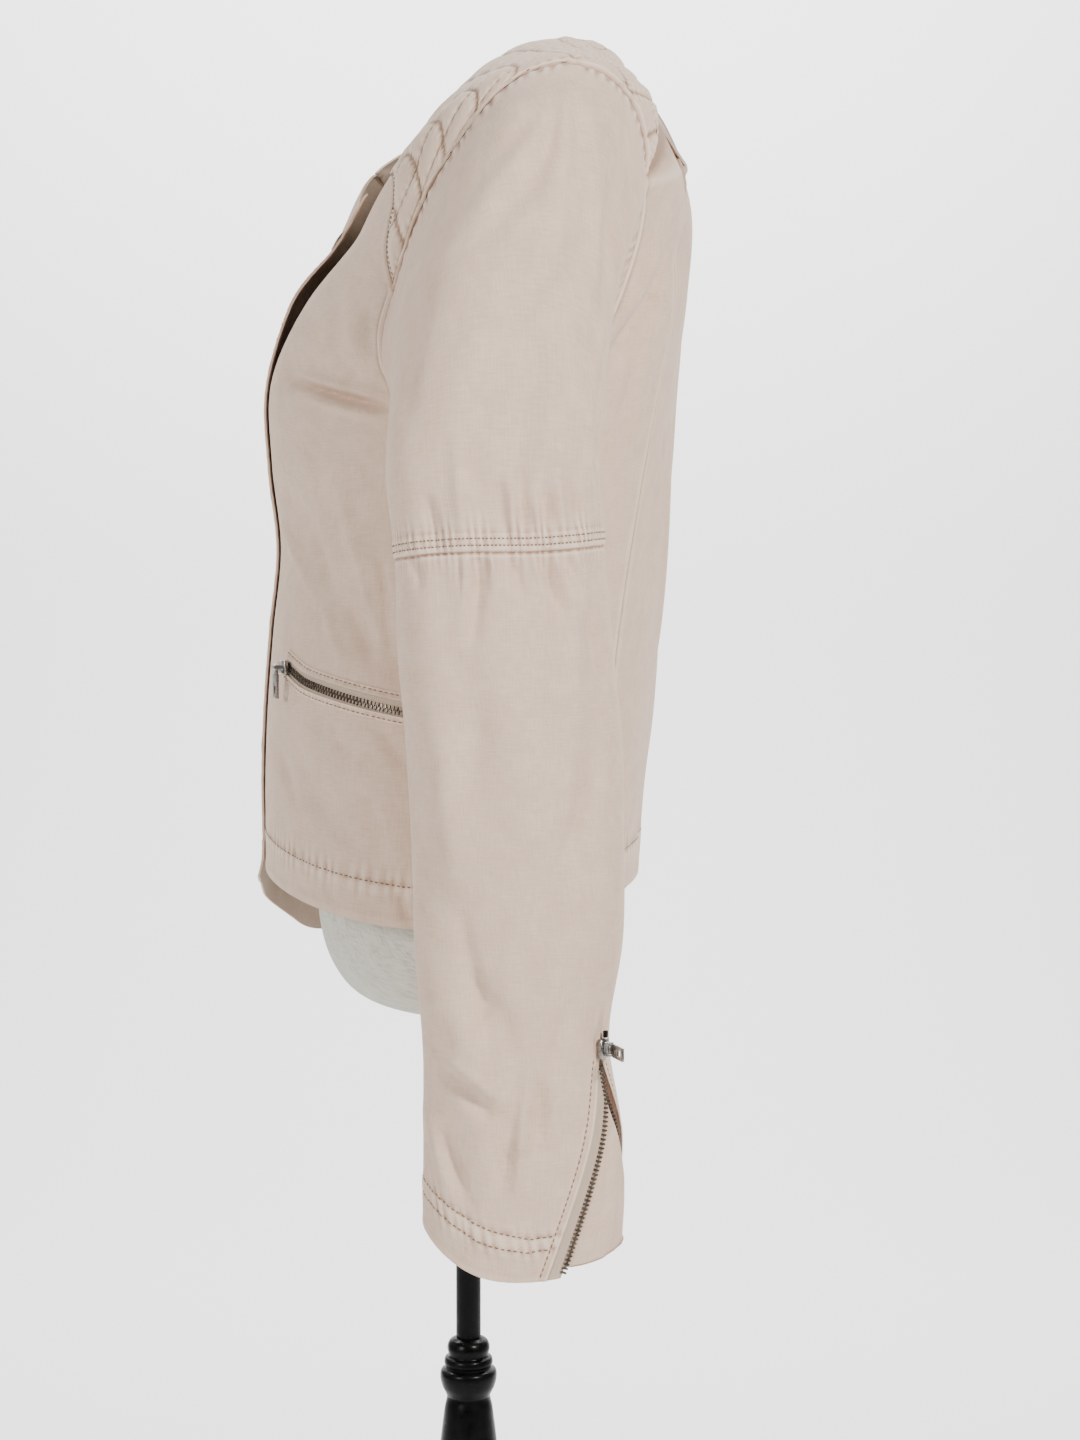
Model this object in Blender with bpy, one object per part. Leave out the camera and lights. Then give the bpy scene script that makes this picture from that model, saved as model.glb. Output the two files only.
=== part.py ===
"""A collarless cotton biker jacket on a limbless dress form with a turned stand.

Metres, +Z up, with the floor at z = 0 under the middle of the pole. The jacket's
front faces -Y and the wearer's left side faces +X.
"""

import math
from collections import namedtuple

import bmesh
import bpy
import numpy as np
from mathutils import Matrix, Vector
from mathutils.bvhtree import BVHTree

MM = 0.001

# Cloth
WALL = 1.6 * MM
SEAM = 0.3 * MM
ARMHOLE_ROOM = 0.85 * MM  # more room where the sleeve turns away from the body
OVERLAP_REACH = 22 * MM  # each front runs this far past the middle
LAYER = WALL + SEAM + 1.2 * MM  # the right front lies this far off the left one
LIFT_AT_NECK = 7 * MM
BULGE_AT_CHEST = 9 * MM
FLARE_AT_HEM = 6 * MM
RISE_AT_NECK = 14 * MM

# Quilting on the shoulder yokes
DIAMOND = 25 * MM
QUILT_RISE = 1.3 * MM
QUILT_SLANTS = (-50, 28)  # degrees, of the two families of stitching, from neck to armhole

# How much lower the right side of the hem hangs
RIGHT_HEM_DROP = 0.96  # in rows of BODY_RINGS

# Seams, as places on the wearer's left side
YOKE_SEAM_FROM_MIDDLE = 32 * MM
YOKE_SEAM_AT_BACK_NECK = 30 * MM

# Counts of quads
FRONT_COLUMNS = 13
SIDE_ROWS = 9
YOKE_COLUMNS = 12
YOKE_TO_BACK_CENTRE = 7  # of the yoke's columns, those sewn to the centre back
NECK_COLUMNS = 3

SIDE_VIEW_DIP = 1.9  # how a ring falls from its side to its middle
FOLD_ROW = 50 * MM  # a row of BODY_RINGS is about this high
FOLD_RADIUS = 140 * MM

BodyRing = namedtuple(
    "BodyRing", "side_z half_width side_y front_y front_z back_y back_z square"
)
BODY_RINGS = (
    BodyRing(0.842, 0.169, -0.008, -0.1175, 0.864, 0.0990, 0.858, 2.4),
    BodyRing(0.897, 0.169, -0.008, -0.1155, 0.918, 0.0996, 0.913, 2.4),
    BodyRing(0.950, 0.167, -0.006, -0.1160, 0.965, 0.1018, 0.961, 2.4),
    BodyRing(1.000, 0.165, -0.003, -0.1145, 1.008, 0.1073, 1.005, 2.4),
    BodyRing(1.050, 0.162, 0.000, -0.1110, 1.053, 0.1118, 1.051, 2.4),
    BodyRing(1.100, 0.161, 0.004, -0.1065, 1.100, 0.1150, 1.100, 2.4),
    BodyRing(1.150, 0.164, 0.012, -0.1115, 1.148, 0.1180, 1.150, 2.4),
    BodyRing(1.200, 0.169, 0.022, -0.1120, 1.194, 0.1217, 1.198, 2.3),
    BodyRing(1.250, 0.174, 0.034, -0.0935, 1.235, 0.1278, 1.246, 2.2),
    BodyRing(1.300, 0.181, 0.047, -0.0690, 1.262, 0.1300, 1.291, 2.1),
    BodyRing(1.339, 0.188, 0.056, -0.0590, 1.278, 0.1175, 1.328, 2.0),
    BodyRing(1.3600, 0.134, 0.055, -0.0550, 1.286, 0.1020, 1.3570, 2.0),
    BodyRing(1.3785, 0.080, 0.053, -0.0515, 1.293, 0.0845, 1.3835, 2.0),
)
HEM = 1.0
NECK = len(BODY_RINGS) - 1.0

Stitch = namedtuple("Stitch", "y z")
# The armhole as the side view shows it, from the shoulder round by the back.
ARMHOLE_TO_BACK_YOKE = (
    Stitch(0.056, 1.3420),
    Stitch(0.075, 1.3375),
    Stitch(0.089, 1.3270),
    Stitch(0.096, 1.3100),
    Stitch(0.097, 1.2920),
)
ARMHOLE_BACK = (
    Stitch(0.097, 1.2920),
    Stitch(0.094, 1.2650),
    Stitch(0.086, 1.2380),
    Stitch(0.073, 1.2080),
    Stitch(0.054, 1.1780),
    Stitch(0.034, 1.1580),
)
ARMHOLE_FRONT = (
    Stitch(-0.008, 1.1560),
    Stitch(-0.027, 1.1690),
    Stitch(-0.037, 1.1900),
    Stitch(-0.037, 1.2120),
    Stitch(-0.033, 1.2300),
)
ARMHOLE_FRONT_YOKE = (
    Stitch(-0.033, 1.2300),
    Stitch(-0.027, 1.2500),
    Stitch(-0.0205, 1.2680),
    Stitch(-0.0115, 1.2870),
    Stitch(0.0020, 1.3060),
    Stitch(0.0160, 1.3220),
    Stitch(0.0340, 1.3355),
    Stitch(0.056, 1.3420),
)
UNDERARM_Z = 1.150

# The seam down the back, from the yoke to the hem.
BACK_SEAM = (
    Stitch(0.1215, 1.3180),
    Stitch(0.1225, 1.2830),
    Stitch(0.1160, 1.2270),
    Stitch(0.1050, 1.1700),
    Stitch(0.0960, 1.1200),
    Stitch(0.0870, 1.0620),
    Stitch(0.0800, 1.0000),
    Stitch(0.0740, 0.9500),
    Stitch(0.0700, 0.9020),
)

# Soft folds of the body, as troughs (depth below 0 is a ridge) from one place to another.
Fold = namedtuple("Fold", "from_y from_z to_y to_z half_width depth")
BODY_FOLDS = (
    Fold(-0.095, 1.196, -0.040, 1.180, 11 * MM, 5.0 * MM),
    Fold(-0.088, 1.222, -0.045, 1.205, 14 * MM, -2.5 * MM),
    Fold(-0.098, 1.125, -0.055, 1.050, 13 * MM, 3.5 * MM),
    Fold(-0.080, 1.140, -0.035, 1.060, 12 * MM, -2.5 * MM),
    Fold(-0.075, 1.128, -0.030, 1.035, 11 * MM, 3.5 * MM),
    Fold(-0.095, 0.990, -0.045, 0.930, 16 * MM, 2.0 * MM),
    Fold(0.120, 1.262, 0.088, 1.200, 13 * MM, 4.0 * MM),
    Fold(0.108, 1.120, 0.080, 1.000, 14 * MM, 2.5 * MM),
    Fold(0.098, 1.060, 0.060, 0.930, 15 * MM, -2.0 * MM),
)

SleeveRing = namedtuple(
    "SleeveRing", "z inner_x outer_x front_y back_y front_rise back_rise square"
)
SLEEVE_RINGS = (
    SleeveRing(1.128, 0.1695, 0.2540, -0.0335, 0.0720, 0.000, 0.000, 2.9),
    SleeveRing(1.093, 0.1690, 0.2560, -0.0290, 0.0745, -0.003, 0.004, 2.6),
    SleeveRing(1.050, 0.1695, 0.2575, -0.0280, 0.0785, -0.002, 0.003, 2.4),
    SleeveRing(1.000, 0.1705, 0.2575, -0.0240, 0.0835, 0.000, 0.000, 2.4),
    SleeveRing(0.950, 0.1730, 0.2570, -0.0210, 0.0845, 0.000, 0.000, 2.4),
    SleeveRing(0.900, 0.1755, 0.2550, -0.0185, 0.0840, 0.000, 0.000, 2.4),
    SleeveRing(0.850, 0.1765, 0.2520, -0.0155, 0.0770, 0.002, 0.000, 2.4),
    SleeveRing(0.797, 0.1765, 0.2505, -0.0155, 0.0835, 0.010, 0.003, 2.4),
    SleeveRing(0.7335, 0.1760, 0.2500, -0.0155, 0.0790, 0.022, 0.010, 2.4),
)
SLEEVE_COLUMNS = 24
CAP_ROWS = 6
# How the sleeve leaves the armhole at each turn from the shoulder round by the back:
# backwards and upwards, for each length outwards.
Leave = namedtuple("Leave", "turn back up")
LEAVES = (
    Leave(0, 0.00, -0.33),
    Leave(45, -0.08, -0.32),
    Leave(90, -0.12, -0.30),
    Leave(135, -0.05, -0.42),
    Leave(180, 0.00, -0.56),
    Leave(225, -0.12, -0.42),
    Leave(262, 0.02, -0.28),
    Leave(290, 0.14, -0.30),
    Leave(330, 0.14, -0.33),
    Leave(360, 0.00, -0.33),
)
ELBOW_ROW = CAP_ROWS + 1
SLIT_COLUMN = 4
SLIT_TOP = 6.1  # in rows of SLEEVE_RINGS
NEAR_SLIT_ANGLE = 14.0
FAR_SLIT_ANGLE = 108.0
# Rows of SLEEVE_RINGS at which the sleeve has points, below the cap
SLEEVE_LEVELS = (0.0, 1.0, 1.5, 2.0, 2.8, 3.6, 4.4, 5.2, SLIT_TOP, 6.6, 7.1, 7.55, 8.0)

SleeveFold = namedtuple("SleeveFold", "from_angle from_row to_angle to_row width depth")
SLEEVE_FOLDS = (
    SleeveFold(330, 7.2, 342, 10.2, 11, 2.2 * MM),
    SleeveFold(12, 7.2, 8, 9.6, 10, 2.0 * MM),
    SleeveFold(40, 7.2, 30, 10.6, 11, -1.8 * MM),
    SleeveFold(66, 7.4, 40, 10.8, 10, 2.4 * MM),
    SleeveFold(300, 11.6, 345, 13.2, 12, 2.4 * MM),
    SleeveFold(285, 13.0, 350, 15.4, 12, -2.0 * MM),
    SleeveFold(318, 14.6, 352, 16.6, 10, 2.2 * MM),
    SleeveFold(200, 8.0, 170, 12.0, 14, 2.4 * MM),
    SleeveFold(232, 4.4, 250, 6.6, 13, 2.0 * MM),
    SleeveFold(84, 1.0, 72, 5.4, 11, 3.0 * MM),
    SleeveFold(58, 1.0, 54, 5.2, 9, -3.0 * MM),
)

# Cuff zip and gusset
TAPE_WIDTH = 7 * MM
TAPE_WALL = 1.2 * MM
GUSSET_INSET = 2.2 * MM
GUSSET_BULGE = 9 * MM
GUSSET_COLUMNS = 5
GUSSET_HEM_RISE = 5 * MM
SLIDER_BELOW_SLIT = 0.14  # in rows of SLEEVE_RINGS

# Pocket zip on each front, from near the middle to the side
POCKET_START = Stitch(-0.0950, 1.0350)
POCKET_BEND = Stitch(-0.0830, 1.0262)
POCKET_END = Stitch(-0.0100, 1.0095)
POCKET_CHAIN = 8 * MM
POCKET_WELT = 4.5 * MM
POCKET_COLUMNS = 10
LIE_OFF = 0.5 * MM  # what lies on a panel starts this far off it
SEARCH_FROM = 15 * MM

# Snaps down the right front
SNAP_FROM_MIDDLE = 9 * MM
SNAP_HEIGHTS = (0.985, 1.058, 1.132, 1.203, 1.272)
SNAP_RADIUS = 7 * MM
SNAP_HEIGHT = 1.6 * MM

# Slider and pull tab
SLIDER_LENGTH = 10 * MM
SLIDER_WIDTH = 7.5 * MM
SLIDER_DEPTH = 2.6 * MM
EAR = 1.2 * MM
EAR_REACH = 4.6 * MM
BAR_RADIUS = 0.6 * MM
BAR_OFF = 3.0 * MM  # from the slider's face to the bar's middle
BARREL_RADIUS = 1.5 * MM
BARREL_BORE = 1.0 * MM
TAB_WIDTH = 6.5 * MM
TAB_LENGTH = 17 * MM
TAB_THICKNESS = 1.2 * MM
TAB_HOLE = (3.4 * MM, 4.6 * MM)
TAB_LEAN = 38  # degrees from straight out, towards the sleeve's outer side

# Dress form
FORM_RINGS = (
    BodyRing(0.8400, 0.085, 0.002, -0.0350, 0.8400, 0.0400, 0.8400, 2.1),
    BodyRing(0.8420, 0.118, 0.002, -0.0570, 0.8420, 0.0660, 0.8420, 2.1),
    BodyRing(0.8530, 0.142, 0.002, -0.0742, 0.8530, 0.0820, 0.8530, 2.1),
    BodyRing(0.8800, 0.152, 0.002, -0.0858, 0.8800, 0.0890, 0.8800, 2.1),
    BodyRing(0.9300, 0.155, 0.002, -0.0890, 0.9300, 0.0905, 0.9300, 2.1),
    BodyRing(0.9900, 0.147, 0.002, -0.0870, 0.9900, 0.0930, 0.9900, 2.1),
    BodyRing(1.0400, 0.134, 0.002, -0.0820, 1.0400, 0.0930, 1.0400, 2.1),
    BodyRing(1.0900, 0.128, 0.004, -0.0800, 1.0900, 0.0950, 1.0900, 2.1),
    BodyRing(1.1400, 0.138, 0.010, -0.0890, 1.1380, 0.1020, 1.1400, 2.1),
    BodyRing(1.1900, 0.148, 0.020, -0.0980, 1.1830, 0.1100, 1.1880, 2.1),
    BodyRing(1.2400, 0.154, 0.032, -0.0820, 1.2240, 0.1170, 1.2360, 2.1),
    BodyRing(1.2900, 0.160, 0.045, -0.0580, 1.2520, 0.1190, 1.2830, 2.1),
    BodyRing(1.3270, 0.165, 0.055, -0.0470, 1.2680, 0.1090, 1.3190, 2.0),
    BodyRing(1.3510, 0.128, 0.055, -0.0420, 1.2770, 0.0950, 1.3480, 2.0),
    BodyRing(1.3670, 0.088, 0.052, -0.0360, 1.2870, 0.0830, 1.3670, 2.0),
    BodyRing(1.3700, 0.064, 0.048, -0.0210, 1.3070, 0.0750, 1.3720, 2.0),
    BodyRing(1.3740, 0.056, 0.043, -0.0100, 1.3280, 0.0710, 1.3775, 2.0),
    BodyRing(1.3780, 0.053, 0.038, -0.0080, 1.3460, 0.0690, 1.3815, 2.0),
    BodyRing(1.3800, 0.044, 0.036, -0.0020, 1.3520, 0.0640, 1.3835, 2.0),
)
FORM_COLUMNS = 24

# Stand
POLE_RADIUS = 7.4 * MM
POLE_FOOT = 0.630
Turn = namedtuple("Turn", "radius z")
COLUMN_PROFILE = (
    Turn(0.0085, 0.6285),
    Turn(0.0115, 0.6265),
    Turn(0.0128, 0.6225),
    Turn(0.0120, 0.6180),
    Turn(0.0140, 0.6165),
    Turn(0.0146, 0.6135),
    Turn(0.0136, 0.6110),
    Turn(0.0164, 0.6090),
    Turn(0.0170, 0.6050),
    Turn(0.0158, 0.5995),
    Turn(0.0134, 0.5945),
    Turn(0.0131, 0.5920),
    Turn(0.0150, 0.5820),
    Turn(0.0185, 0.5450),
    Turn(0.0205, 0.4700),
    Turn(0.0190, 0.3600),
    Turn(0.0165, 0.2500),
    Turn(0.0150, 0.1500),
    Turn(0.0165, 0.0900),
    Turn(0.0220, 0.0600),
    Turn(0.0330, 0.0420),
    Turn(0.0460, 0.0330),
)
COLUMN_SIDES = 20
BASE_PROFILE = (
    Turn(0.0550, 0.0327),
    Turn(0.1100, 0.0280),
    Turn(0.1500, 0.0190),
    Turn(0.1600, 0.0120),
    Turn(0.1610, 0.0060),
    Turn(0.1590, 0.0000),
)
BASE_SIDES = 40

Paint = namedtuple("Paint", "red green blue roughness metallic")
COTTON = Paint(0.66, 0.57, 0.50, 0.85, 0.0)
LINEN = Paint(0.50, 0.48, 0.43, 0.90, 0.0)
ZIP_TAPE = Paint(0.58, 0.49, 0.42, 0.90, 0.0)
NICKEL = Paint(0.30, 0.27, 0.23, 0.35, 1.0)
LACQUER = Paint(0.012, 0.012, 0.012, 0.25, 0.0)


# ---------------------------------------------------------------- surfaces


def table_columns(table, level):
    """The columns of a ring table at fractional rows, smooth from row to row."""
    rows = np.array(table, float)
    last = len(rows) - 1
    level = np.clip(np.asarray(level, float), 0.0, last)
    row = np.minimum(np.floor(level).astype(int), last - 1)
    part = (level - row)[..., None]
    here = rows[row]
    there = rows[row + 1]
    before = np.where((row > 0)[..., None], rows[np.maximum(row - 1, 0)], 2 * here - there)
    is_last = (row + 2 > last)[..., None]
    after = np.where(is_last, 2 * there - here, rows[np.minimum(row + 2, last)])
    slope = 0.5 * (there - before)
    next_slope = 0.5 * (after - here)
    rise = there - here
    bend = 3 * rise - 2 * slope - next_slope
    twist = slope + next_slope - 2 * rise
    value = here + part * (slope + part * (bend + part * twist))
    return np.moveaxis(value, -1, 0)


def signed_power(value, power):
    return np.sign(value) * np.abs(value) ** power


def ring_surface(table, angle, level):
    """A place on a body, from the angle round it (0 is the left side, 90 the back)."""
    side_z, half_width, side_y, front_y, front_z, back_y, back_z, square = table_columns(
        table, level
    )
    across = signed_power(np.cos(angle), 2 / square)
    along = np.abs(np.sin(angle)) ** (2 / square)
    is_front = np.sin(angle) < 0
    end_y = np.where(is_front, front_y, back_y)
    end_z = np.where(is_front, front_z, back_z)
    y = side_y + (end_y - side_y) * along
    z = side_z + (end_z - side_z) * along**SIDE_VIEW_DIP
    return np.stack([half_width * across, y, z], axis=-1)


def ring_normal(table, angle, level):
    turn = 0.02
    step = 0.08
    along = ring_surface(table, angle + turn, level) - ring_surface(table, angle - turn, level)
    up = ring_surface(table, angle, level + step) - ring_surface(table, angle, level - step)
    return unit(np.cross(along, up))


def unit(vectors):
    return vectors / np.maximum(np.linalg.norm(vectors, axis=-1, keepdims=True), 1e-12)


def smooth_step(low, high, value):
    part = np.clip((value - low) / (high - low), 0.0, 1.0)
    return part * part * (3 - 2 * part)


def side_place(stitch):
    """The angle and level on the left half of the body that the side view shows at y, z."""
    low = 0.0
    high = NECK
    for _ in range(40):
        level = (low + high) / 2
        side_z, _, side_y, front_y, front_z, back_y, back_z, square = table_columns(
            BODY_RINGS, level
        )
        is_front = stitch.y < side_y
        end_y = front_y if is_front else back_y
        end_z = front_z if is_front else back_z
        reach = min(abs(stitch.y - side_y) / abs(end_y - side_y), 1.0)
        height = side_z + (end_z - side_z) * reach**SIDE_VIEW_DIP
        if height < stitch.z:
            low = level
        else:
            high = level
    angle = math.asin(reach ** (square / 2))
    return np.array([-angle if is_front else angle, level])


def angle_from_middle(distance, level, middle):
    """The angle at which the body is this far to the left of its middle line."""
    _, half_width, _, _, _, _, _, square = table_columns(BODY_RINGS, level)
    share = signed_power(distance / half_width, square / 2)
    return math.copysign(1, middle) * np.arccos(share)


def smooth_line(points, count):
    """Evenly spaced places on a smooth line through the given points."""
    dense = table_columns(points, np.linspace(0, len(points) - 1, 400)).T
    steps = np.linalg.norm(np.diff(dense, axis=0), axis=1)
    travelled = np.concatenate([[0], np.cumsum(steps)])
    wanted = np.linspace(0, travelled[-1], count + 1)
    return np.stack([np.interp(wanted, travelled, column) for column in dense.T], axis=1)


def side_line(stitches, count):
    return np.array([side_place(Stitch(y, z)) for y, z in smooth_line(stitches, count)])


def level_at_side(height):
    heights = table_columns(BODY_RINGS, np.linspace(0, NECK, 600))[0]
    return float(np.interp(height, heights, np.linspace(0, NECK, 600)))


UNDERARM = np.array([0.0, level_at_side(UNDERARM_Z)])


def armhole_places():
    """The armhole's seam points on the left side, from the shoulder round by the back."""
    side_z, _, side_y = table_columns(BODY_RINGS, UNDERARM[1])[:3]
    under = Stitch(float(side_y), float(side_z))
    to_yoke = side_line(ARMHOLE_TO_BACK_YOKE, 4)
    back = side_line(ARMHOLE_BACK + (under,), 7)
    front = side_line((under,) + ARMHOLE_FRONT, 6)
    front_yoke = side_line(ARMHOLE_FRONT_YOKE, 7)
    back[-1] = UNDERARM
    front[0] = UNDERARM
    return np.concatenate([to_yoke[:-1], back[:-1], front[:-1], front_yoke[:-1]])


ARMHOLE = armhole_places()
BACK_YOKE_POINT = 4
UNDERARM_POINT = 11
FRONT_YOKE_POINT = 17


def fold_depth(angle, level):
    """How far the folds push the body's cloth out, the same on both sides."""
    left_angle = np.where(np.cos(angle) < 0, math.pi * np.sign(angle) - angle, angle)
    flat = np.stack([left_angle * FOLD_RADIUS, level * FOLD_ROW], axis=-1)
    out = np.zeros(np.shape(left_angle))
    for fold in BODY_FOLDS:
        start = side_place(Stitch(fold.from_y, fold.from_z)) * (FOLD_RADIUS, FOLD_ROW)
        end = side_place(Stitch(fold.to_y, fold.to_z)) * (FOLD_RADIUS, FOLD_ROW)
        run = end - start
        along = ((flat - start) @ run) / (run @ run)
        beside = np.linalg.norm(flat - start - np.clip(along, 0, 1)[..., None] * run, axis=-1)
        out -= fold.depth * np.exp(-((beside / fold.half_width) ** 2))
    return out


def body_cloth(places):
    """Places and outward normals of the cloth at an array of angles and levels."""
    angle = places[..., 0]
    level = places[..., 1]
    normals = ring_normal(BODY_RINGS, angle, level)
    points = ring_surface(BODY_RINGS, angle, level)
    points = points + normals * fold_depth(angle, level)[..., None]
    return points, normals


def hem_level(angle):
    """The hem's level, which falls towards the wearer's right."""
    in_front = smooth_step(-0.35, 0.60, -np.cos(angle))
    behind = smooth_step(0.0, 0.90, -np.cos(angle))
    rightward = np.where(np.sin(angle) < 0, in_front, behind)
    return HEM - RIGHT_HEM_DROP * rightward


# ---------------------------------------------------------------- panels


def patch(bottom, top, left, right):
    """Angles and levels spread evenly between four sides."""
    across = np.linspace(0, 1, len(bottom))[None, :, None]
    up = np.linspace(0, 1, len(left))[:, None, None]
    sideways = (1 - across) * left[:, None] + across * right[:, None]
    upward = (1 - up) * bottom[None] + up * top[None]
    low = (1 - across) * bottom[0] + across * bottom[-1]
    high = (1 - across) * top[0] + across * top[-1]
    return sideways + upward - (1 - up) * low - up * high


def pull_in(points, left=0.0, right=0.0, bottom=0.0, top=0.0):
    """Moves a grid's edges towards their neighbours by the given lengths."""
    moved = points.copy()
    sides = (
        ((slice(None), 0), (slice(None), 1), left),
        ((slice(None), -1), (slice(None), -2), right),
        ((0,), (1,), bottom),
        ((-1,), (-2,), top),
    )
    for edge, inner, length in sides:
        length = np.asarray(length, float)
        line = points[edge]
        run = unit(np.gradient(line.reshape(-1, 3), axis=0)).reshape(line.shape)
        inward = points[inner] - line
        inward = unit(inward - (inward * run).sum(axis=-1, keepdims=True) * run)
        moved[edge] += inward * (length[..., None] if length.ndim else length)
    return moved


def wall(name, points, normals, paint, thickness=WALL, raised=None):
    """A closed wall on a grid of places, its outside moved out further where raised."""
    rows, columns = points.shape[:2]
    outer_out = thickness / 2 if raised is None else (thickness / 2 + raised)[..., None]
    outer = (points + normals * outer_out).reshape(-1, 3)
    inner = (points - normals * thickness / 2).reshape(-1, 3)
    total = rows * columns
    quads = []
    for row in range(rows - 1):
        for column in range(columns - 1):
            corner = row * columns + column
            quads.append((corner, corner + 1, corner + columns + 1, corner + columns))
    faces = []
    for a, b, c, d in quads:
        faces += [(a, b, c), (a, c, d)]
        faces += [(total + a, total + c, total + b), (total + a, total + d, total + c)]
    faces += rim_faces(quads, outer[:, 2], total)
    return make_mesh(name, np.concatenate([outer, inner]), faces, paint)


def boundary(quads):
    """The directed edges that only one quad has."""
    edges = set()
    for quad in quads:
        for start, end in zip(quad, quad[1:] + quad[:1]):
            if (end, start) in edges:
                edges.remove((end, start))
            else:
                edges.add((start, end))
    return sorted(edges)


def rim_faces(quads, heights, total):
    """A wall's edge, each of its quads cut as the piece on the seam's other side cuts it."""
    faces = []
    for a, b in boundary(quads):
        if heights[a] < heights[b]:
            faces += [(b, a, total + a), (b, total + a, total + b)]
        else:
            faces += [(b, a, total + b), (a, total + a, total + b)]
    return faces


def make_mesh(name, vertices, faces, paint):
    mesh = bpy.data.meshes.new(name)
    mesh.from_pydata([tuple(map(float, v)) for v in vertices], [], faces)
    mesh.validate()
    return add_object(name, mesh, paint)


def add_object(name, data, paint):
    piece = bpy.data.objects.new(name, data)
    bpy.context.scene.collection.objects.link(piece)
    data.materials.append(material(paint))
    if hasattr(data, "polygons"):
        data.shade_smooth()
        data.set_sharp_from_angle(angle=math.radians(40))
    return piece


def material(paint):
    name = "_".join(f"{value:.3f}" for value in paint)
    found = bpy.data.materials.get(name)
    if found:
        return found
    made = bpy.data.materials.new(name)
    made.use_nodes = True
    shader = made.node_tree.nodes["Principled BSDF"]
    shader.inputs["Base Color"].default_value = (paint.red, paint.green, paint.blue, 1)
    shader.inputs["Roughness"].default_value = paint.roughness
    shader.inputs["Metallic"].default_value = paint.metallic
    return made


def mirrored(points, normals):
    """The same grid on the wearer's right, its columns still running leftwards."""
    flip = np.array([-1.0, 1.0, 1.0])
    return points[:, ::-1] * flip, normals[:, ::-1] * flip


def mirrored_places(places):
    """Angles and levels of the same places on the wearer's right."""
    angle = places[..., 0]
    other = np.where(angle < 0, -math.pi - angle, math.pi - angle)
    return np.stack([other, places[..., 1]], axis=-1)[:, ::-1]


# ---------------------------------------------------------------- seam lines


def sleeve_start():
    """The seam points of the armhole in space, and the way the sleeve leaves each."""
    points, normals = body_cloth(ARMHOLE)
    turns, back, up = (np.array(column, float) for column in zip(*LEAVES))
    turn = np.arange(SLEEVE_COLUMNS) * 360 / SLEEVE_COLUMNS
    out = np.ones(SLEEVE_COLUMNS)
    leave = unit(np.stack([out, np.interp(turn, turns, back), np.interp(turn, turns, up)], 1))
    return points, normals, leave


def armhole_gap():
    """How far a panel's edge stays off each armhole point, more where the sleeve turns away."""
    _, normals, leave = sleeve_start()
    facing = np.abs((normals * leave).sum(axis=1))
    return SEAM + ARMHOLE_ROOM + WALL / 2 * facing


def front_yoke_seam():
    """From the neckline to the armhole."""
    neck_angle = angle_from_middle(YOKE_SEAM_FROM_MIDDLE, NECK, -1)
    start = np.array([neck_angle, NECK])
    end = ARMHOLE[FRONT_YOKE_POINT]
    sag = np.array([-0.05, -0.35])
    share = np.linspace(0, 1, YOKE_COLUMNS + 1)[:, None]
    return (1 - share) * start + share * end + 4 * share * (1 - share) * sag


def back_yoke_seam():
    """From the neckline to the armhole."""
    neck_angle = angle_from_middle(YOKE_SEAM_AT_BACK_NECK, NECK, 1)
    start = np.array([neck_angle, NECK])
    end = ARMHOLE[BACK_YOKE_POINT]
    sag = np.array([0.06, -0.25])
    share = np.linspace(0, 1, YOKE_COLUMNS + 1)[:, None]
    return (1 - share) * start + share * end + 4 * share * (1 - share) * sag


def back_seam():
    """From the hem to the yoke, with as many rows as the side back has."""
    line = side_line(BACK_SEAM[::-1], SIDE_ROWS + UNDERARM_POINT - BACK_YOKE_POINT)
    line[0, 1] = HEM
    line[-1] = back_yoke_seam()[YOKE_TO_BACK_CENTRE]
    return line


def side_seam():
    levels = np.linspace(HEM, UNDERARM[1], SIDE_ROWS + 1)
    return np.stack([np.zeros(SIDE_ROWS + 1), levels], axis=1)


# ---------------------------------------------------------------- jacket body


def front_places():
    """The left front's grid, from its free edge to the side and from hem to neck."""
    armhole = ARMHOLE[UNDERARM_POINT : FRONT_YOKE_POINT + 1]
    yoke = front_yoke_seam()[::-2]
    right = np.concatenate([side_seam(), armhole[1:], yoke[1:]])
    levels = smooth_edge_levels(len(right))
    left = np.stack([angle_from_middle(-OVERLAP_REACH, levels, -1), levels], axis=1)
    share = np.linspace(0, 1, FRONT_COLUMNS + 1)[:, None]
    bottom = (1 - share) * left[0] + share * right[0]
    top = (1 - share) * left[-1] + share * right[-1]
    return patch(bottom, top, left, right)


def smooth_edge_levels(count):
    """Levels up the free edge, closer together towards the neck."""
    stations = (HEM, UNDERARM[1] - 0.1, 8.6, NECK)
    turns = (0, SIDE_ROWS, SIDE_ROWS + 6, count - 1)
    return np.interp(np.arange(count), turns, stations)


def front_pulls():
    rows = SIDE_ROWS + (FRONT_YOKE_POINT - UNDERARM_POINT) + YOKE_COLUMNS // 2 + 1
    pulls = np.full(rows, SEAM / 2)
    gaps = armhole_gap()[UNDERARM_POINT : FRONT_YOKE_POINT + 1]
    pulls[SIDE_ROWS : SIDE_ROWS + len(gaps)] = gaps
    return pulls


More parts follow.
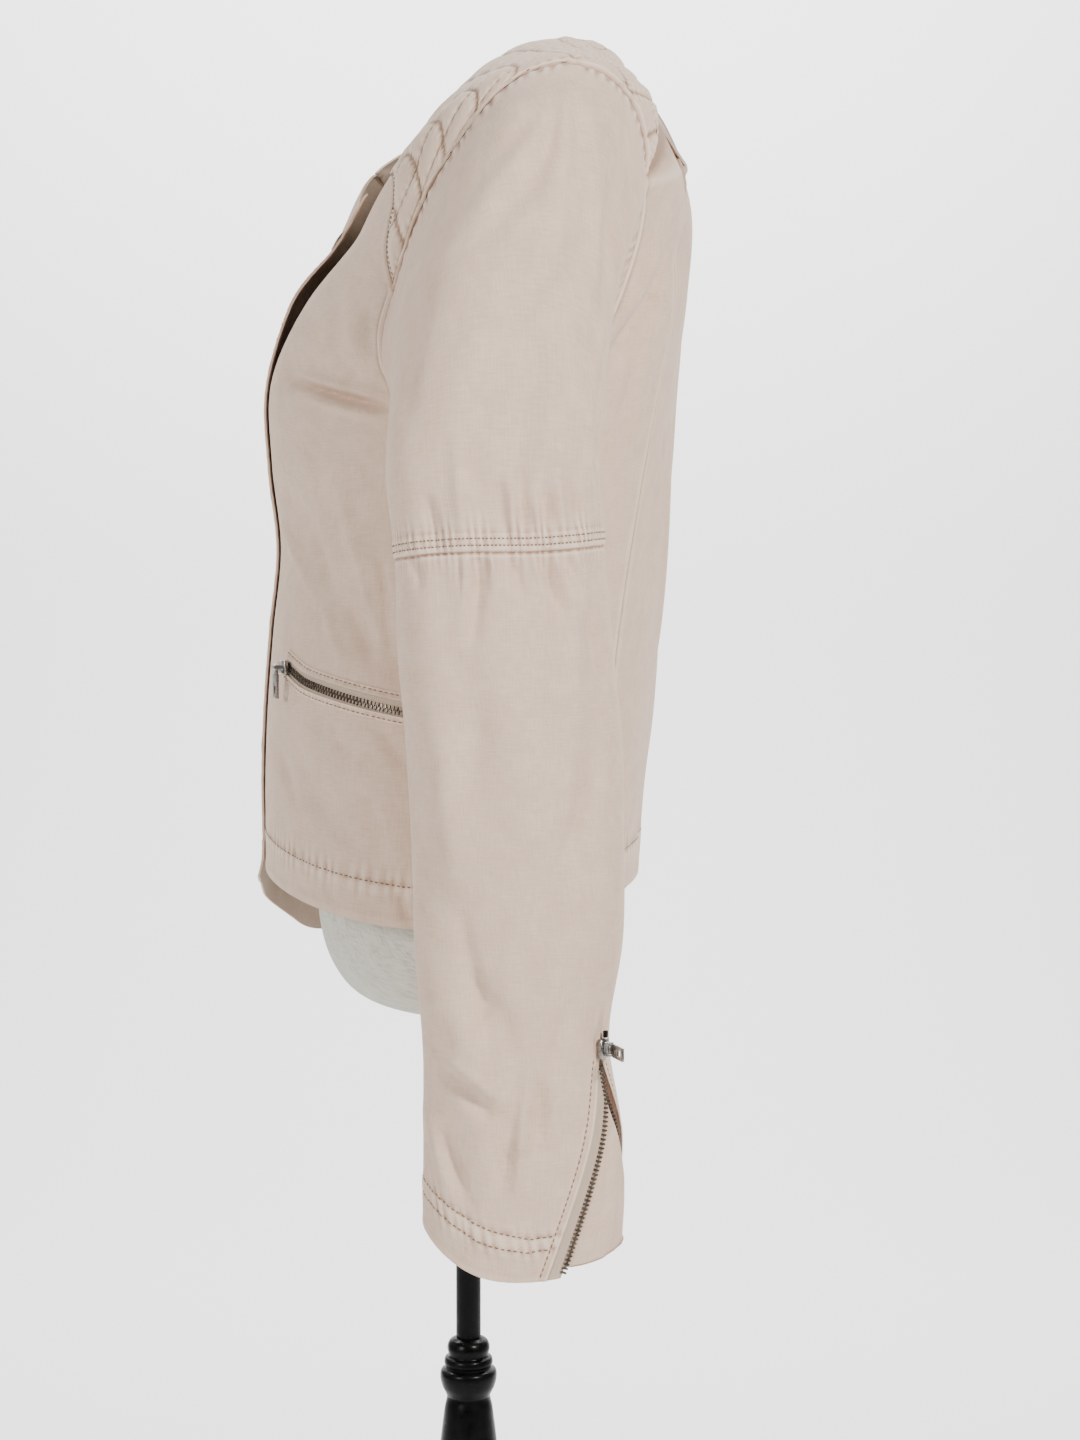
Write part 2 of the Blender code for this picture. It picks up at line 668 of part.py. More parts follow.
def right_side_shift(points, normals):
    """How the unfastened right side stands off and above the left one's shape."""
    x, y, z = np.moveaxis(points, -1, 0)
    in_front = smooth_step(0.040, -0.010, y)
    over = smooth_step(-0.080, -0.030, x) * in_front
    neck = smooth_step(1.190, 1.270, z)
    bulge = np.exp(-(((x + 0.028) / 0.042) ** 2) - ((z - 1.248) / 0.036) ** 2)
    lapped = over * smooth_step(1.345, 1.300, z)
    lift = lapped * LAYER + over * LIFT_AT_NECK * neck + BULGE_AT_CHEST * bulge
    beside_edge = smooth_step(0.016, -0.034, x) * smooth_step(-0.100, -0.045, x) * in_front
    rise = RISE_AT_NECK * smooth_step(1.255, 1.300, z) * beside_edge
    lift = lift + FLARE_AT_HEM * smooth_step(0.925, 0.885, z) * over
    upward = np.array([0.0, -0.3, 1.0])
    return normals * lift[..., None] + upward * rise[..., None]


def drop_hem(places):
    """Stretches the lowest rows down to the hem's level."""
    dropped = places.copy()
    share = np.clip((HEM + 2.0 - places[..., 1]) / 2.0, 0, 1)
    dropped[..., 1] += share * (hem_level(places[..., 0]) - HEM)
    return dropped


def right_front_cloth(places):
    points, normals = body_cloth(places)
    return points + right_side_shift(points, normals), normals


def build_fronts():
    places = front_places()
    points, normals = body_cloth(places)
    points = pull_in(points, right=front_pulls())
    wall("front_left", points, normals, COTTON)
    points, normals = right_front_cloth(drop_hem(mirrored_places(places)))
    points = pull_in(points, left=front_pulls())
    wall("front_right", points, normals, COTTON)


def back_centre_places():
    left_seam = back_seam()
    right_seam = mirrored_places(left_seam[:, None])[:, 0]
    yoke = back_yoke_seam()[: YOKE_TO_BACK_CENTRE + 1]
    neck = np.linspace(yoke[0, 0], math.pi - yoke[0, 0], NECK_COLUMNS + 1)[1:-1]
    neck = np.stack([neck, np.full(len(neck), NECK)], axis=1)
    right_yoke = mirrored_places(yoke[:, None])[:, 0]
    top = np.concatenate([yoke[::-1], neck, right_yoke])
    share = np.linspace(0, 1, len(top))[:, None]
    bottom = (1 - share) * left_seam[0] + share * right_seam[0]
    return patch(bottom, top, left_seam, right_seam)


def build_back():
    places = drop_hem(back_centre_places())
    points, normals = body_cloth(places)
    top_pull = np.full(points.shape[1], SEAM / 2)
    top_pull[YOKE_TO_BACK_CENTRE + 1 : -YOKE_TO_BACK_CENTRE - 1] = 0
    points = pull_in(points, left=SEAM / 2, right=SEAM / 2, top=top_pull)
    wall("back_centre", points, normals, COTTON)


def side_back_places():
    armhole = ARMHOLE[BACK_YOKE_POINT : UNDERARM_POINT + 1][::-1]
    left = np.concatenate([side_seam(), armhole[1:]])
    right = back_seam()
    top = back_yoke_seam()[YOKE_TO_BACK_CENTRE:][::-1]
    share = np.linspace(0, 1, len(top))[:, None]
    bottom = (1 - share) * left[0] + share * right[0]
    return patch(bottom, top, left, right)


def build_side_backs():
    places = side_back_places()
    pulls = np.full(len(places), SEAM / 2)
    gaps = armhole_gap()[BACK_YOKE_POINT : UNDERARM_POINT + 1][::-1]
    pulls[SIDE_ROWS:] = gaps
    points, normals = body_cloth(places)
    points = pull_in(points, left=pulls, right=SEAM / 2, top=SEAM / 2)
    wall("side_back_left", points, normals, COTTON)
    points, normals = body_cloth(drop_hem(mirrored_places(places)))
    points = pull_in(points, left=SEAM / 2, right=pulls, top=SEAM / 2)
    wall("side_back_right", points, normals, COTTON)


def yoke_places():
    """From the neckline to the armhole, and from the front seam to the back one."""
    armhole = np.concatenate([ARMHOLE[FRONT_YOKE_POINT:], ARMHOLE[: BACK_YOKE_POINT + 1]])
    rows = np.linspace(0, len(armhole) - 1, 2 * (len(armhole) - 1) + 1)
    right = np.stack(
        [np.interp(rows, np.arange(len(armhole)), column) for column in armhole.T], axis=1
    )
    bottom = front_yoke_seam()
    top = back_yoke_seam()
    neck = np.linspace(bottom[0, 0], top[0, 0], len(right))
    left = np.stack([neck, np.full(len(neck), NECK)], axis=1)
    return patch(bottom, top, left, right)


def straighten(points, normals, edge):
    """Puts every second point of an edge midway, as a neighbour with half as many has it."""
    for grid in (points, normals):
        line = grid[edge]
        line[1::2] = (line[0:-1:2] + line[2::2]) / 2
    normals[edge] = unit(normals[edge])


def quilt_rise(points):
    """Puffs between the diagonal rows of stitching, from lengths measured on the cloth."""
    along = arc_lengths(points, 0).mean(axis=1, keepdims=True) + 0 * points[..., 0]
    across = arc_lengths(points, 1)
    rise = np.full(across.shape, QUILT_RISE)
    for slant in QUILT_SLANTS:
        turn = math.radians(slant)
        beside = along * math.cos(turn) - across * math.sin(turn)
        rise *= np.sqrt(np.abs(np.sin(math.pi * beside / DIAMOND)))
    return rise


def arc_lengths(points, axis):
    steps = np.linalg.norm(np.diff(points, axis=axis), axis=-1)
    start = np.zeros_like(np.take(steps, [0], axis=axis))
    return np.concatenate([start, np.cumsum(steps, axis=axis)], axis=axis)


def build_yokes():
    armhole = armhole_gap()
    gaps = np.concatenate([armhole[FRONT_YOKE_POINT:], armhole[: BACK_YOKE_POINT + 1]])
    places = yoke_places()
    pulls = np.interp(np.arange(len(places)) / 2, np.arange(len(gaps)), gaps)
    points, normals = body_cloth(places)
    raised = quilt_rise(points)
    raised[0] = 0
    raised[-1] = 0
    raised[:, 0] = 0
    raised[:, -1] = 0
    left = (points.copy(), normals.copy())
    straighten(*left, (slice(None), -1))
    straighten(*left, (0,))
    points, normals = mirrored(points, normals)
    right = (points + right_side_shift(points, normals), normals)
    straighten(*right, (slice(None), 0))
    straighten(*right, (0,))
    points = pull_in(left[0], right=pulls, bottom=SEAM / 2, top=SEAM / 2)
    wall("yoke_left", points, left[1], COTTON, raised=raised)
    points = pull_in(right[0], left=pulls, bottom=SEAM / 2, top=SEAM / 2)
    wall("yoke_right", points, right[1], COTTON, raised=raised[:, ::-1])


# ---------------------------------------------------------------- sleeves


def sleeve_ring(turn, level):
    """A place on the left sleeve; turn 0 is its outer side and 90 degrees its back."""
    z, inner_x, outer_x, front_y, back_y, front_rise, back_rise, square = table_columns(
        SLEEVE_RINGS, level
    )
    side = np.sin(turn)
    x = (inner_x + outer_x) / 2 + (outer_x - inner_x) / 2 * signed_power(
        np.cos(turn), 2 / square
    )
    y = (front_y + back_y) / 2 + (back_y - front_y) / 2 * signed_power(side, 2 / square)
    rise = np.where(side < 0, front_rise, back_rise) * side**2
    return np.stack([x, y, z + rise], axis=-1)


def slit_turns(level):
    """The columns' angles below the slit's top, from its far edge round to its near one."""
    opened = np.clip((level - SLIT_TOP) / (len(SLEEVE_RINGS) - 1 - SLIT_TOP), 0, 1)
    middle = SLIT_COLUMN * 360 / SLEEVE_COLUMNS
    far = middle + opened * (FAR_SLIT_ANGLE - middle)
    near = 360 + middle + opened * (NEAR_SLIT_ANGLE - middle)
    return np.radians(np.linspace(far, near, SLEEVE_COLUMNS + 1))


def sleeve_grid():
    """The whole left sleeve, from the armhole to the cuff, its columns from the slit on."""
    starts, body_normals, leave = sleeve_start()
    facing = np.abs((body_normals * leave).sum(axis=1))
    order = (np.arange(SLEEVE_COLUMNS + 1) + SLIT_COLUMN) % SLEEVE_COLUMNS
    starts = (starts + leave * (SEAM + ARMHOLE_ROOM * facing[:, None]))[order]
    leave = leave[order]
    turns = slit_turns(0.0)
    ends = sleeve_ring(turns, 0.0)
    reach = np.linalg.norm(ends - starts, axis=1, keepdims=True)
    leave = leave * reach * 0.85
    arrive = np.array([0.0, 0.0, -1.0]) * reach * 1.05
    rows = []
    for share in np.linspace(0, 1, CAP_ROWS + 1)[:-1]:
        square = share * share
        cube = square * share
        rows.append(
            (2 * cube - 3 * square + 1) * starts
            + (cube - 2 * square + share) * leave
            + (3 * square - 2 * cube) * ends
            + (cube - square) * arrive
        )
    for level in SLEEVE_LEVELS:
        rows.append(sleeve_ring(slit_turns(level), level))
    return np.array(rows)


def sleeve_cloth():
    """The left sleeve's places and normals, with its folds."""
    points = sleeve_grid()
    normals = grid_normals(points)
    rows = np.arange(len(points))[:, None] + np.zeros(points.shape[1])
    angles = np.linspace(60, 420, points.shape[1])[None, :] + 0 * rows
    out = np.zeros(rows.shape)
    for fold in SLEEVE_FOLDS:
        run = np.array([fold.to_angle - fold.from_angle, 12.0 * (fold.to_row - fold.from_row)])
        for lap in (-360, 0, 360):
            from_start = np.stack(
                [angles + lap - fold.from_angle, 12.0 * (rows - fold.from_row)], axis=-1
            )
            along = np.clip((from_start @ run) / (run @ run), 0, 1)
            beside = np.linalg.norm(from_start - along[..., None] * run, axis=-1)
            out -= fold.depth * np.exp(-((beside / fold.width) ** 2))
    out[0] = 0
    out[-3:, :2] = 0
    out[-3:, -2:] = 0
    return points + normals * out[..., None], normals


def grid_normals(points):
    """Outward normals of a tube's grid whose last column repeats the first one's direction."""
    along = np.empty_like(points)
    along[:, 1:-1] = points[:, 2:] - points[:, :-2]
    joined = points[:, 1] - points[:, -2]
    along[:, 0] = joined
    along[:, -1] = joined
    opened = np.linalg.norm(points[:, 0] - points[:, -1], axis=1) > 1e-6
    along[opened, 0] = points[opened, 1] - points[opened, 0]
    along[opened, -1] = points[opened, -1] - points[opened, -2]
    down = np.empty_like(points)
    down[1:-1] = points[2:] - points[:-2]
    down[0] = points[1] - points[0]
    down[-1] = points[-1] - points[-2]
    return unit(np.cross(down, along))


def slit_wall(name, points, normals, slit_row):
    """A tube's wall whose rows from slit_row on are open between first and last column."""
    rows, columns = points.shape[:2]
    index = np.zeros((rows, columns), int)
    places = []
    directions = []
    for row in range(rows):
        for column in range(columns):
            if column == columns - 1 and row <= slit_row:
                index[row, column] = index[row, 0]
                continue
            index[row, column] = len(places)
            places.append(points[row, column])
            directions.append(normals[row, column])
    places = np.array(places)
    directions = np.array(directions)
    total = len(places)
    quads = []
    for row in range(rows - 1):
        for column in range(columns - 1):
            quads.append(
                (int(index[row + 1, column]), int(index[row + 1, column + 1]),
                 int(index[row, column + 1]), int(index[row, column]))
            )
    faces = []
    for a, b, c, d in quads:
        faces += [(a, b, c), (a, c, d)]
        faces += [(total + a, total + c, total + b), (total + a, total + d, total + c)]
    faces += rim_faces(quads, places[:, 2], total)
    vertices = np.concatenate([places + directions * WALL / 2, places - directions * WALL / 2])
    return make_mesh(name, vertices, faces, COTTON)


def build_sleeves():
    points, normals = sleeve_cloth()
    upper = pull_in(points[: ELBOW_ROW + 1], top=SEAM / 2)
    lower = pull_in(points[ELBOW_ROW:], bottom=SEAM / 2)
    slit_row = CAP_ROWS + SLEEVE_LEVELS.index(SLIT_TOP) - ELBOW_ROW
    for side, flip in (("left", 1), ("right", -1)):
        turned = np.array([flip, 1, 1])
        upper_grid = (upper * turned)[:, ::flip]
        upper_normals = (normals[: ELBOW_ROW + 1] * turned)[:, ::flip]
        slit_wall(f"upper_sleeve_{side}", upper_grid, upper_normals, len(upper))
        lower_grid = (lower * turned)[:, ::flip]
        lower_normals = (normals[ELBOW_ROW:] * turned)[:, ::flip]
        slit_wall(f"lower_sleeve_{side}", lower_grid, lower_normals, slit_row)


# ---------------------------------------------------------------- cuff zip and gusset


def cuff_levels():
    """The levels of the zip's rows, from just below the slit's top to the cuff."""
    slit = SLEEVE_LEVELS.index(SLIT_TOP)
    return np.array((SLIT_TOP + SLIDER_BELOW_SLIT,) + SLEEVE_LEVELS[slit + 1 :])


def slit_outline(level):
    """Turns across the slit from its near edge to its far one, and lengths from the near edge."""
    turns = slit_turns(level)
    trial = np.linspace(turns[-1] - 2 * math.pi, turns[0], 120)
    steps = np.linalg.norm(np.diff(sleeve_ring(trial, level), axis=0), axis=1)
    return trial, np.concatenate([[0], np.cumsum(steps)])


def slit_strip(levels, lengths_of_gap):
    """A grid on the sleeve's outline; lengths_of_gap gives each row's lengths from its gap."""
    rows = []
    outward = []
    up = np.array([0.0, 0.0, 1.0])
    for level in levels:
        trial, travelled = slit_outline(level)
        turns = np.interp(lengths_of_gap(travelled[-1]), travelled, trial)
        rows.append(sleeve_ring(turns, level))
        ahead = sleeve_ring(turns + 0.03, level)
        behind = sleeve_ring(turns - 0.03, level)
        outward.append(unit(np.cross(ahead - behind, up)))
    return np.array(rows), np.array(outward)


def tape_width(gap):
    return min(TAPE_WIDTH, gap / 2 - SEAM)


def near_tape_lengths(gap):
    return np.array([SEAM, tape_width(gap) / 2, tape_width(gap)])


def far_tape_lengths(gap):
    return gap - near_tape_lengths(gap)[::-1]


def gusset_lengths(gap):
    """Under the near tape, across the open part and under the far tape."""
    near = tape_width(gap)
    under = 0.25 * near
    inside = np.linspace(near, gap - near, GUSSET_COLUMNS)
    return np.concatenate([[under], inside, [gap - under]])


def gusset_bulge(rows):
    """How far the gusset stands out, from nothing under the tapes."""
    across = np.linspace(0, 1, GUSSET_COLUMNS)
    across = np.concatenate([[0], np.sin(math.pi * across), [0]])
    down = smooth_step(0, rows - 1, np.arange(rows))[:, None] ** 0.6
    return GUSSET_BULGE * down * across[None, :] ** 0.8 - GUSSET_INSET


def build_cuffs():
    levels = cuff_levels()
    near = slit_strip(levels, near_tape_lengths)
    far = slit_strip(levels, far_tape_lengths)
    points, normals = slit_strip(levels[1:], gusset_lengths)
    points = points + normals * gusset_bulge(len(points))[..., None]
    points[-1, 1:-1] += np.array([0.0, 0.0, GUSSET_HEM_RISE])
    gusset = (points, normals)
    pieces = (
        ("cuff_tape_near", near, ZIP_TAPE, TAPE_WALL),
        ("cuff_tape_far", far, ZIP_TAPE, TAPE_WALL),
        ("cuff_gusset", gusset, COTTON, WALL),
    )
    for name, (points, normals), paint, thickness in pieces:
        for side, flip in (("left", 1), ("right", -1)):
            turned = np.array([flip, 1, 1])
            grid = (points * turned)[::-1, ::flip]
            wall(f"{name}_{side}", grid, (normals * turned)[::-1, ::flip], paint, thickness)


# ---------------------------------------------------------------- pockets and snaps


def pocket_line():
    """Angles and levels along the middle of the pocket's zip."""
    ends = [side_place(stitch) for stitch in (POCKET_START, POCKET_BEND, POCKET_END)]
    share = np.linspace(0, 1, POCKET_COLUMNS + 1)[:, None]
    bend = 0.30
    first = (1 - share / bend) * ends[0] + share / bend * ends[1]
    second = (1 - (share - bend) / (1 - bend)) * ends[1] + (share - bend) / (1 - bend) * ends[2]
    return np.where(share < bend, first, second)


def panel_tree(name):
    """A search tree of a panel's own faces, for what lies on it."""
    panel = bpy.data.objects[name].data
    points = [vertex.co.copy() for vertex in panel.vertices]
    return BVHTree.FromPolygons(points, [tuple(face.vertices) for face in panel.polygons])


def height_over(tree, points, normals):
    """How far the panel's outside lies from each point, along its normal."""
    flat_points = points.reshape(-1, 3)
    flat_normals = normals.reshape(-1, 3)
    heights = []
    for point, normal in zip(flat_points, flat_normals):
        away = Vector(normal)
        start = Vector(point) + away * SEARCH_FROM
        hit = tree.ray_cast(start, -away, 2 * SEARCH_FROM)
        heights.append(SEARCH_FROM - hit[3] if hit[0] else WALL / 2)
    return np.array(heights).reshape(points.shape[:-1])


def settle(tree, points, normals):
    """Lifts a strip's columns until the panel under it lies LIE_OFF below all of it."""
    lifted = points.copy()
    spans = points.shape[1] - 1
    for _ in range(4):
        shortfall = np.zeros(points.shape[1])
        for share in np.linspace(0, 1, 6):
            for part in (0.0, 0.5, 1.0):
                line = (1 - part) * lifted[0] + part * lifted[1]
                place = (1 - share) * line[:spans] + share * line[1:]
                facing = unit((1 - share) * normals[0, :spans] + share * normals[0, 1:])
                lack = np.maximum(height_over(tree, place, facing) + LIE_OFF, 0)
                shortfall[:spans] = np.maximum(shortfall[:spans], lack)
                shortfall[1:] = np.maximum(shortfall[1:], lack)
        lifted += normals * shortfall[None, :, None]
    return lifted


def strip_on(tree, cloth, places, low, high, thickness):
    """A wall's grid between two distances above a line on a panel, lying on its faces."""
    points, normals = cloth(places)
    along = unit(np.gradient(points, axis=0))
    up = unit(np.cross(normals, along))
    rows = np.array([points + up * reach for reach in (low, high)])
    facing = np.array([normals, normals])
    return settle(tree, rows, facing) + facing * thickness / 2, facing


def pocket_places(side):
    """The pocket line and the cloth that it lies on, from near the middle to the side."""
    places = pocket_line()
    if side == "left":
        return places, body_cloth
    return drop_hem(mirrored_places(places[:, None])[:, 0]), right_front_cloth


def build_pockets():
    half = POCKET_CHAIN / 2
    bands = (
        ("pocket_zip", -half + SEAM, half - SEAM, TAPE_WALL, ZIP_TAPE),
        ("pocket_welt_upper", half, half + POCKET_WELT, WALL, COTTON),
        ("pocket_welt_lower", -half - POCKET_WELT, -half, WALL, COTTON),
    )
    for side in ("left", "right"):
        tree = panel_tree(f"front_{side}")
        places, cloth = pocket_places(side)
        if side == "right":
            places = places[::-1]
        for name, low, high, thickness, paint in bands:
            points, normals = strip_on(tree, cloth, places, low, high, thickness)
            wall(f"{name}_{side}", points, normals, paint, thickness)


def snap_places():
    """Where each snap's middle lies on the right front, and which way it faces."""
    found = []
    for height in SNAP_HEIGHTS:
        levels = np.linspace(HEM, NECK, 600)
        angles = angle_from_middle(SNAP_FROM_MIDDLE, levels, -1)
        heights = ring_surface(BODY_RINGS, angles, levels)[:, 2]
        level = float(np.interp(height, heights, levels))
        angle = angle_from_middle(SNAP_FROM_MIDDLE, level, -1)
        places = np.array([[angle, level], [angle, level + 0.1], [angle + 0.05, level]])
        points, _ = right_front_cloth(places)
        normal = unit(np.cross(points[2] - points[0], points[1] - points[0]))
        found.append((points[0], normal))
    return found


def build_snaps():
    profile = (
        (0.0, SNAP_HEIGHT),
        (0.45 * SNAP_RADIUS, SNAP_HEIGHT * 0.92),
        (0.80 * SNAP_RADIUS, SNAP_HEIGHT * 0.62),
        (SNAP_RADIUS, SNAP_HEIGHT * 0.22),
        (SNAP_RADIUS * 0.96, 0.0),
        (0.0, 0.0),
    )
    tree = panel_tree("front_right")
    for number, (place, normal) in enumerate(snap_places(), start=1):
        face = Vector(normal).to_track_quat("Z", "Y").to_matrix().to_4x4()
        turns = np.linspace(0, 2 * math.pi, 13)
        rim = [face @ Vector((math.cos(turn), math.sin(turn), 0)) for turn in turns]
        around = place + SNAP_RADIUS * np.array([tuple(offset) for offset in rim])
        height = float(height_over(tree, around, 0 * around + normal).max())
        mesh = turned_mesh(f"snap_{number}", profile, 12)
        lift = Vector(place) + Vector(normal) * (height + LIE_OFF)
        piece = add_object(f"snap_{number}", mesh, NICKEL)
        piece.matrix_world = Matrix.Translation(lift) @ face


def turned_mesh(name, profile, sides):
    """A closed turned shape from radius and height pairs, from the top middle down."""
    vertices = []
    rings = []
    for radius, height in profile:
        if radius == 0.0:
            rings.append([len(vertices)] * sides)
            vertices.append((0.0, 0.0, height))
            continue
        rings.append(list(range(len(vertices), len(vertices) + sides)))
        for side in range(sides):
            turn = 2 * math.pi * side / sides
            vertices.append((radius * math.cos(turn), radius * math.sin(turn), height))
    faces = []
    for upper, lower in zip(rings, rings[1:]):
        for side in range(sides):
            beside = (side + 1) % sides
            corners = [upper[side], lower[side], lower[beside], upper[beside]]
            face = tuple(dict.fromkeys(corners))
            if len(face) > 2:
                faces.append(face)
    mesh = bpy.data.meshes.new(name)
    mesh.from_pydata(vertices, [], faces)
    mesh.validate()
    return mesh


# ---------------------------------------------------------------- sliders and pull tabs


def block(lows, highs):
    """A box mesh between two corners, in the slider's own frame."""
    shape = bmesh.new()
    bmesh.ops.create_cube(shape, size=1.0)
    size = Vector(highs) - Vector(lows)
    middle = (Vector(highs) + Vector(lows)) / 2
    bmesh.ops.scale(shape, vec=size, verts=shape.verts)
    bmesh.ops.translate(shape, vec=middle, verts=shape.verts)
    return shape


def rod(radius, length, sides):
    """A rod along X about the origin."""
    shape = bmesh.new()
    bmesh.ops.create_cone(
        shape, cap_ends=True, segments=sides, radius1=radius, radius2=radius, depth=length
    )
    bmesh.ops.rotate(shape, matrix=Matrix.Rotation(math.pi / 2, 3, "Y"), verts=shape.verts)
    return shape


def to_object(name, shape, frame, paint):
    """An object from a bmesh given in a frame: X along the hinge, Z out from the cloth."""
    mesh = bpy.data.meshes.new(name)
    bmesh.ops.recalc_face_normals(shape, faces=shape.faces)
    shape.to_mesh(mesh)
    shape.free()
    piece = add_object(name, mesh, paint)
    piece.matrix_world = frame
    return piece


def cut(piece, other, operation):
    """Applies a Boolean of piece with other, which is then removed."""
    modifier = piece.modifiers.new("shape", "BOOLEAN")
    modifier.operation = operation
    modifier.solver = "EXACT"
    modifier.object = other
    bpy.context.view_layer.update()
    graph = bpy.context.evaluated_depsgraph_get()
    result = bpy.data.meshes.new_from_object(piece.evaluated_get(graph))
    piece.modifiers.remove(modifier)
    old = piece.data
    piece.data = result
    bpy.data.meshes.remove(old)
    bpy.data.objects.remove(other)


def build_zip_pull(name, side, origin, hinge, out, stands_out=False):
    """A slider on its chain, and its pull tab, whose barrel turns on the slider's bar.

    The frame's X runs along the hinge and the chain, and Z points out of the cloth. The tab
    lies along -Y of its own frame, which is turned to Z where it stands out.
    """
    hinge = Vector(hinge).normalized()
    out = Vector(out) - hinge * Vector(out).dot(hinge)
    out.normalize()
    basis = Matrix((hinge, out.cross(hinge), out)).transposed().to_4x4()
    frame = Matrix.Translation(Vector(origin)) @ basis
    turn = Matrix.Identity(4)
    if stands_out:
        turn = Matrix.Rotation(math.radians(-90 - TAB_LEAN), 4, "X")
    tab_frame = frame @ turn
    half = SLIDER_WIDTH / 2
    long = SLIDER_LENGTH / 2
    top = -BAR_OFF
    body = block((-long, -half, top - SLIDER_DEPTH), (long, half, top))
    bmesh.ops.bevel(
        body, geom=body.edges, offset=0.5 * MM, segments=1, affect="EDGES", profile=0.5
    )
    slider = to_object(f"{name}_slider_{side}", body, frame, NICKEL)
    ear_outer = EAR_REACH / 2 + EAR / 2
    for sign in (-1, 1):
        middle = sign * ear_outer
        ear = block(
            (middle - EAR / 2, -1.1 * MM, top - 0.5 * MM), (middle + EAR / 2, 1.1 * MM, 1.1 * MM)
        )
        cut(slider, to_object("ear", ear, frame, NICKEL), "UNION")
    bar = rod(BAR_RADIUS, EAR_REACH + EAR, 8)
    cut(slider, to_object("bar", bar, frame, NICKEL), "UNION")

    plate = block(
        (-TAB_WIDTH / 2, -TAB_LENGTH, -TAB_THICKNESS / 2),
        (TAB_WIDTH / 2, -BARREL_RADIUS - 2.2 * MM, TAB_THICKNESS / 2),
    )
    tab = to_object(f"{name}_pull_{side}", plate, tab_frame, NICKEL)
    neck_half = EAR_REACH / 2 - 0.3 * MM
    neck = block(
        (-neck_half, -BARREL_RADIUS - 2.6 * MM, -TAB_THICKNESS / 2),
        (neck_half, -BARREL_BORE - 0.2 * MM, TAB_THICKNESS / 2),
    )
    cut(tab, to_object("neck", neck, tab_frame, NICKEL), "UNION")
    barrel = rod(BARREL_RADIUS, 2 * neck_half, 12)
    cut(tab, to_object("barrel", barrel, tab_frame, NICKEL), "UNION")
    bore = rod(BARREL_BORE, 4 * neck_half, 12)
    cut(tab, to_object("bore", bore, tab_frame, NICKEL), "DIFFERENCE")
    hole_width, hole_length = TAB_HOLE
    hole_end = -TAB_LENGTH + 2.4 * MM
    hole = block(
        (-hole_width / 2, hole_end, -TAB_THICKNESS),
        (hole_width / 2, hole_end + hole_length, TAB_THICKNESS),
    )
    cut(tab, to_object("hole", hole, tab_frame, NICKEL), "DIFFERENCE")


def build_pocket_pulls():
    """Each pocket's slider at the end near the middle, its tab hanging down."""
    for side in ("left", "right"):
        places, cloth = pocket_places(side)
        points, normals = cloth(places[:3])
        place = points[0] * 0.45 + points[1] * 0.55
        out = Vector(unit(normals[0] + normals[1]))
        tree = panel_tree(f"pocket_zip_{side}")
        height = float(height_over(tree, place, np.array(out)))
        out.z = 0.0
        out.normalize()
        hinge = Vector((0, 0, 1)).cross(out)
        above = height + SEAM + SLIDER_DEPTH + BAR_OFF
        origin = Vector(place) + out * (above + 0.8 * MM)
        build_zip_pull("pocket", side, origin, hinge, out)


def build_cuff_pulls():
    """Each cuff's slider at the slit's top, its tab standing out from the sleeve."""
    level = SLIT_TOP - 0.05
    turn = np.array(math.radians(SLIT_COLUMN * 360 / SLEEVE_COLUMNS))
    place = sleeve_ring(turn, level)
    ahead = sleeve_ring(turn + 0.05, level)
    behind = sleeve_ring(turn - 0.05, level)
    normal = unit(np.cross(ahead - behind, np.array([0.0, 0.0, 1.0])))
    for side, flip in (("left", 1), ("right", -1)):
        turned = np.array([flip, 1, 1])
        outward = Vector(normal * turned)
        above = WALL / 2 + SEAM + SLIDER_DEPTH + BAR_OFF + 0.6 * MM
        origin = Vector(place * turned) + outward * above
        build_zip_pull("cuff", side, origin, Vector((0, 0, flip)), outward, stands_out=True)


# ---------------------------------------------------------------- form and stand


def build_form():
    angles = np.linspace(0, 2 * math.pi, FORM_COLUMNS, endpoint=False)
    levels = np.arange(len(FORM_RINGS), dtype=float)
    grid = ring_surface(FORM_RINGS, angles[None, :] + 0 * levels[:, None], levels[:, None])
    rows, columns = grid.shape[:2]
    vertices = list(grid.reshape(-1, 3))
    faces = []
    for row in range(rows - 1):
        for column in range(columns):
            beside = (column + 1) % columns
            a = row * columns + column
            b = row * columns + beside
            faces.append((a, b, b + columns, a + columns))
    bottom = len(vertices)
    vertices.append(grid[0].mean(axis=0))
    top = len(vertices)
    vertices.append(grid[-1].mean(axis=0))
    for column in range(columns):
        beside = (column + 1) % columns
        faces.append((bottom, beside, column))
        faces.append((top, (rows - 1) * columns + column, (rows - 1) * columns + beside))
    make_mesh("dress_form", vertices, faces, LINEN)


def build_stand():
    form_bottom = FORM_RINGS[0].side_z - SEAM
    pole = ((0.0, form_bottom), (POLE_RADIUS, form_bottom), (POLE_RADIUS, POLE_FOOT),
            (0.0, POLE_FOOT))
    add_object("pole", turned_mesh("pole", pole, 16), LACQUER)
    column = [(0.0, COLUMN_PROFILE[0].z)] + [tuple(turn) for turn in COLUMN_PROFILE]
    column.append((0.0, COLUMN_PROFILE[-1].z))
    add_object("stand_column", turned_mesh("stand_column", column, COLUMN_SIDES), LACQUER)
    base = [(0.0, BASE_PROFILE[0].z)] + [tuple(turn) for turn in BASE_PROFILE]
    base.append((0.0, BASE_PROFILE[-1].z))
    add_object("stand_base", turned_mesh("stand_base", base, BASE_SIDES), LACQUER)


def clear_scene():
    for old in list(bpy.data.objects):
        bpy.data.objects.remove(old)


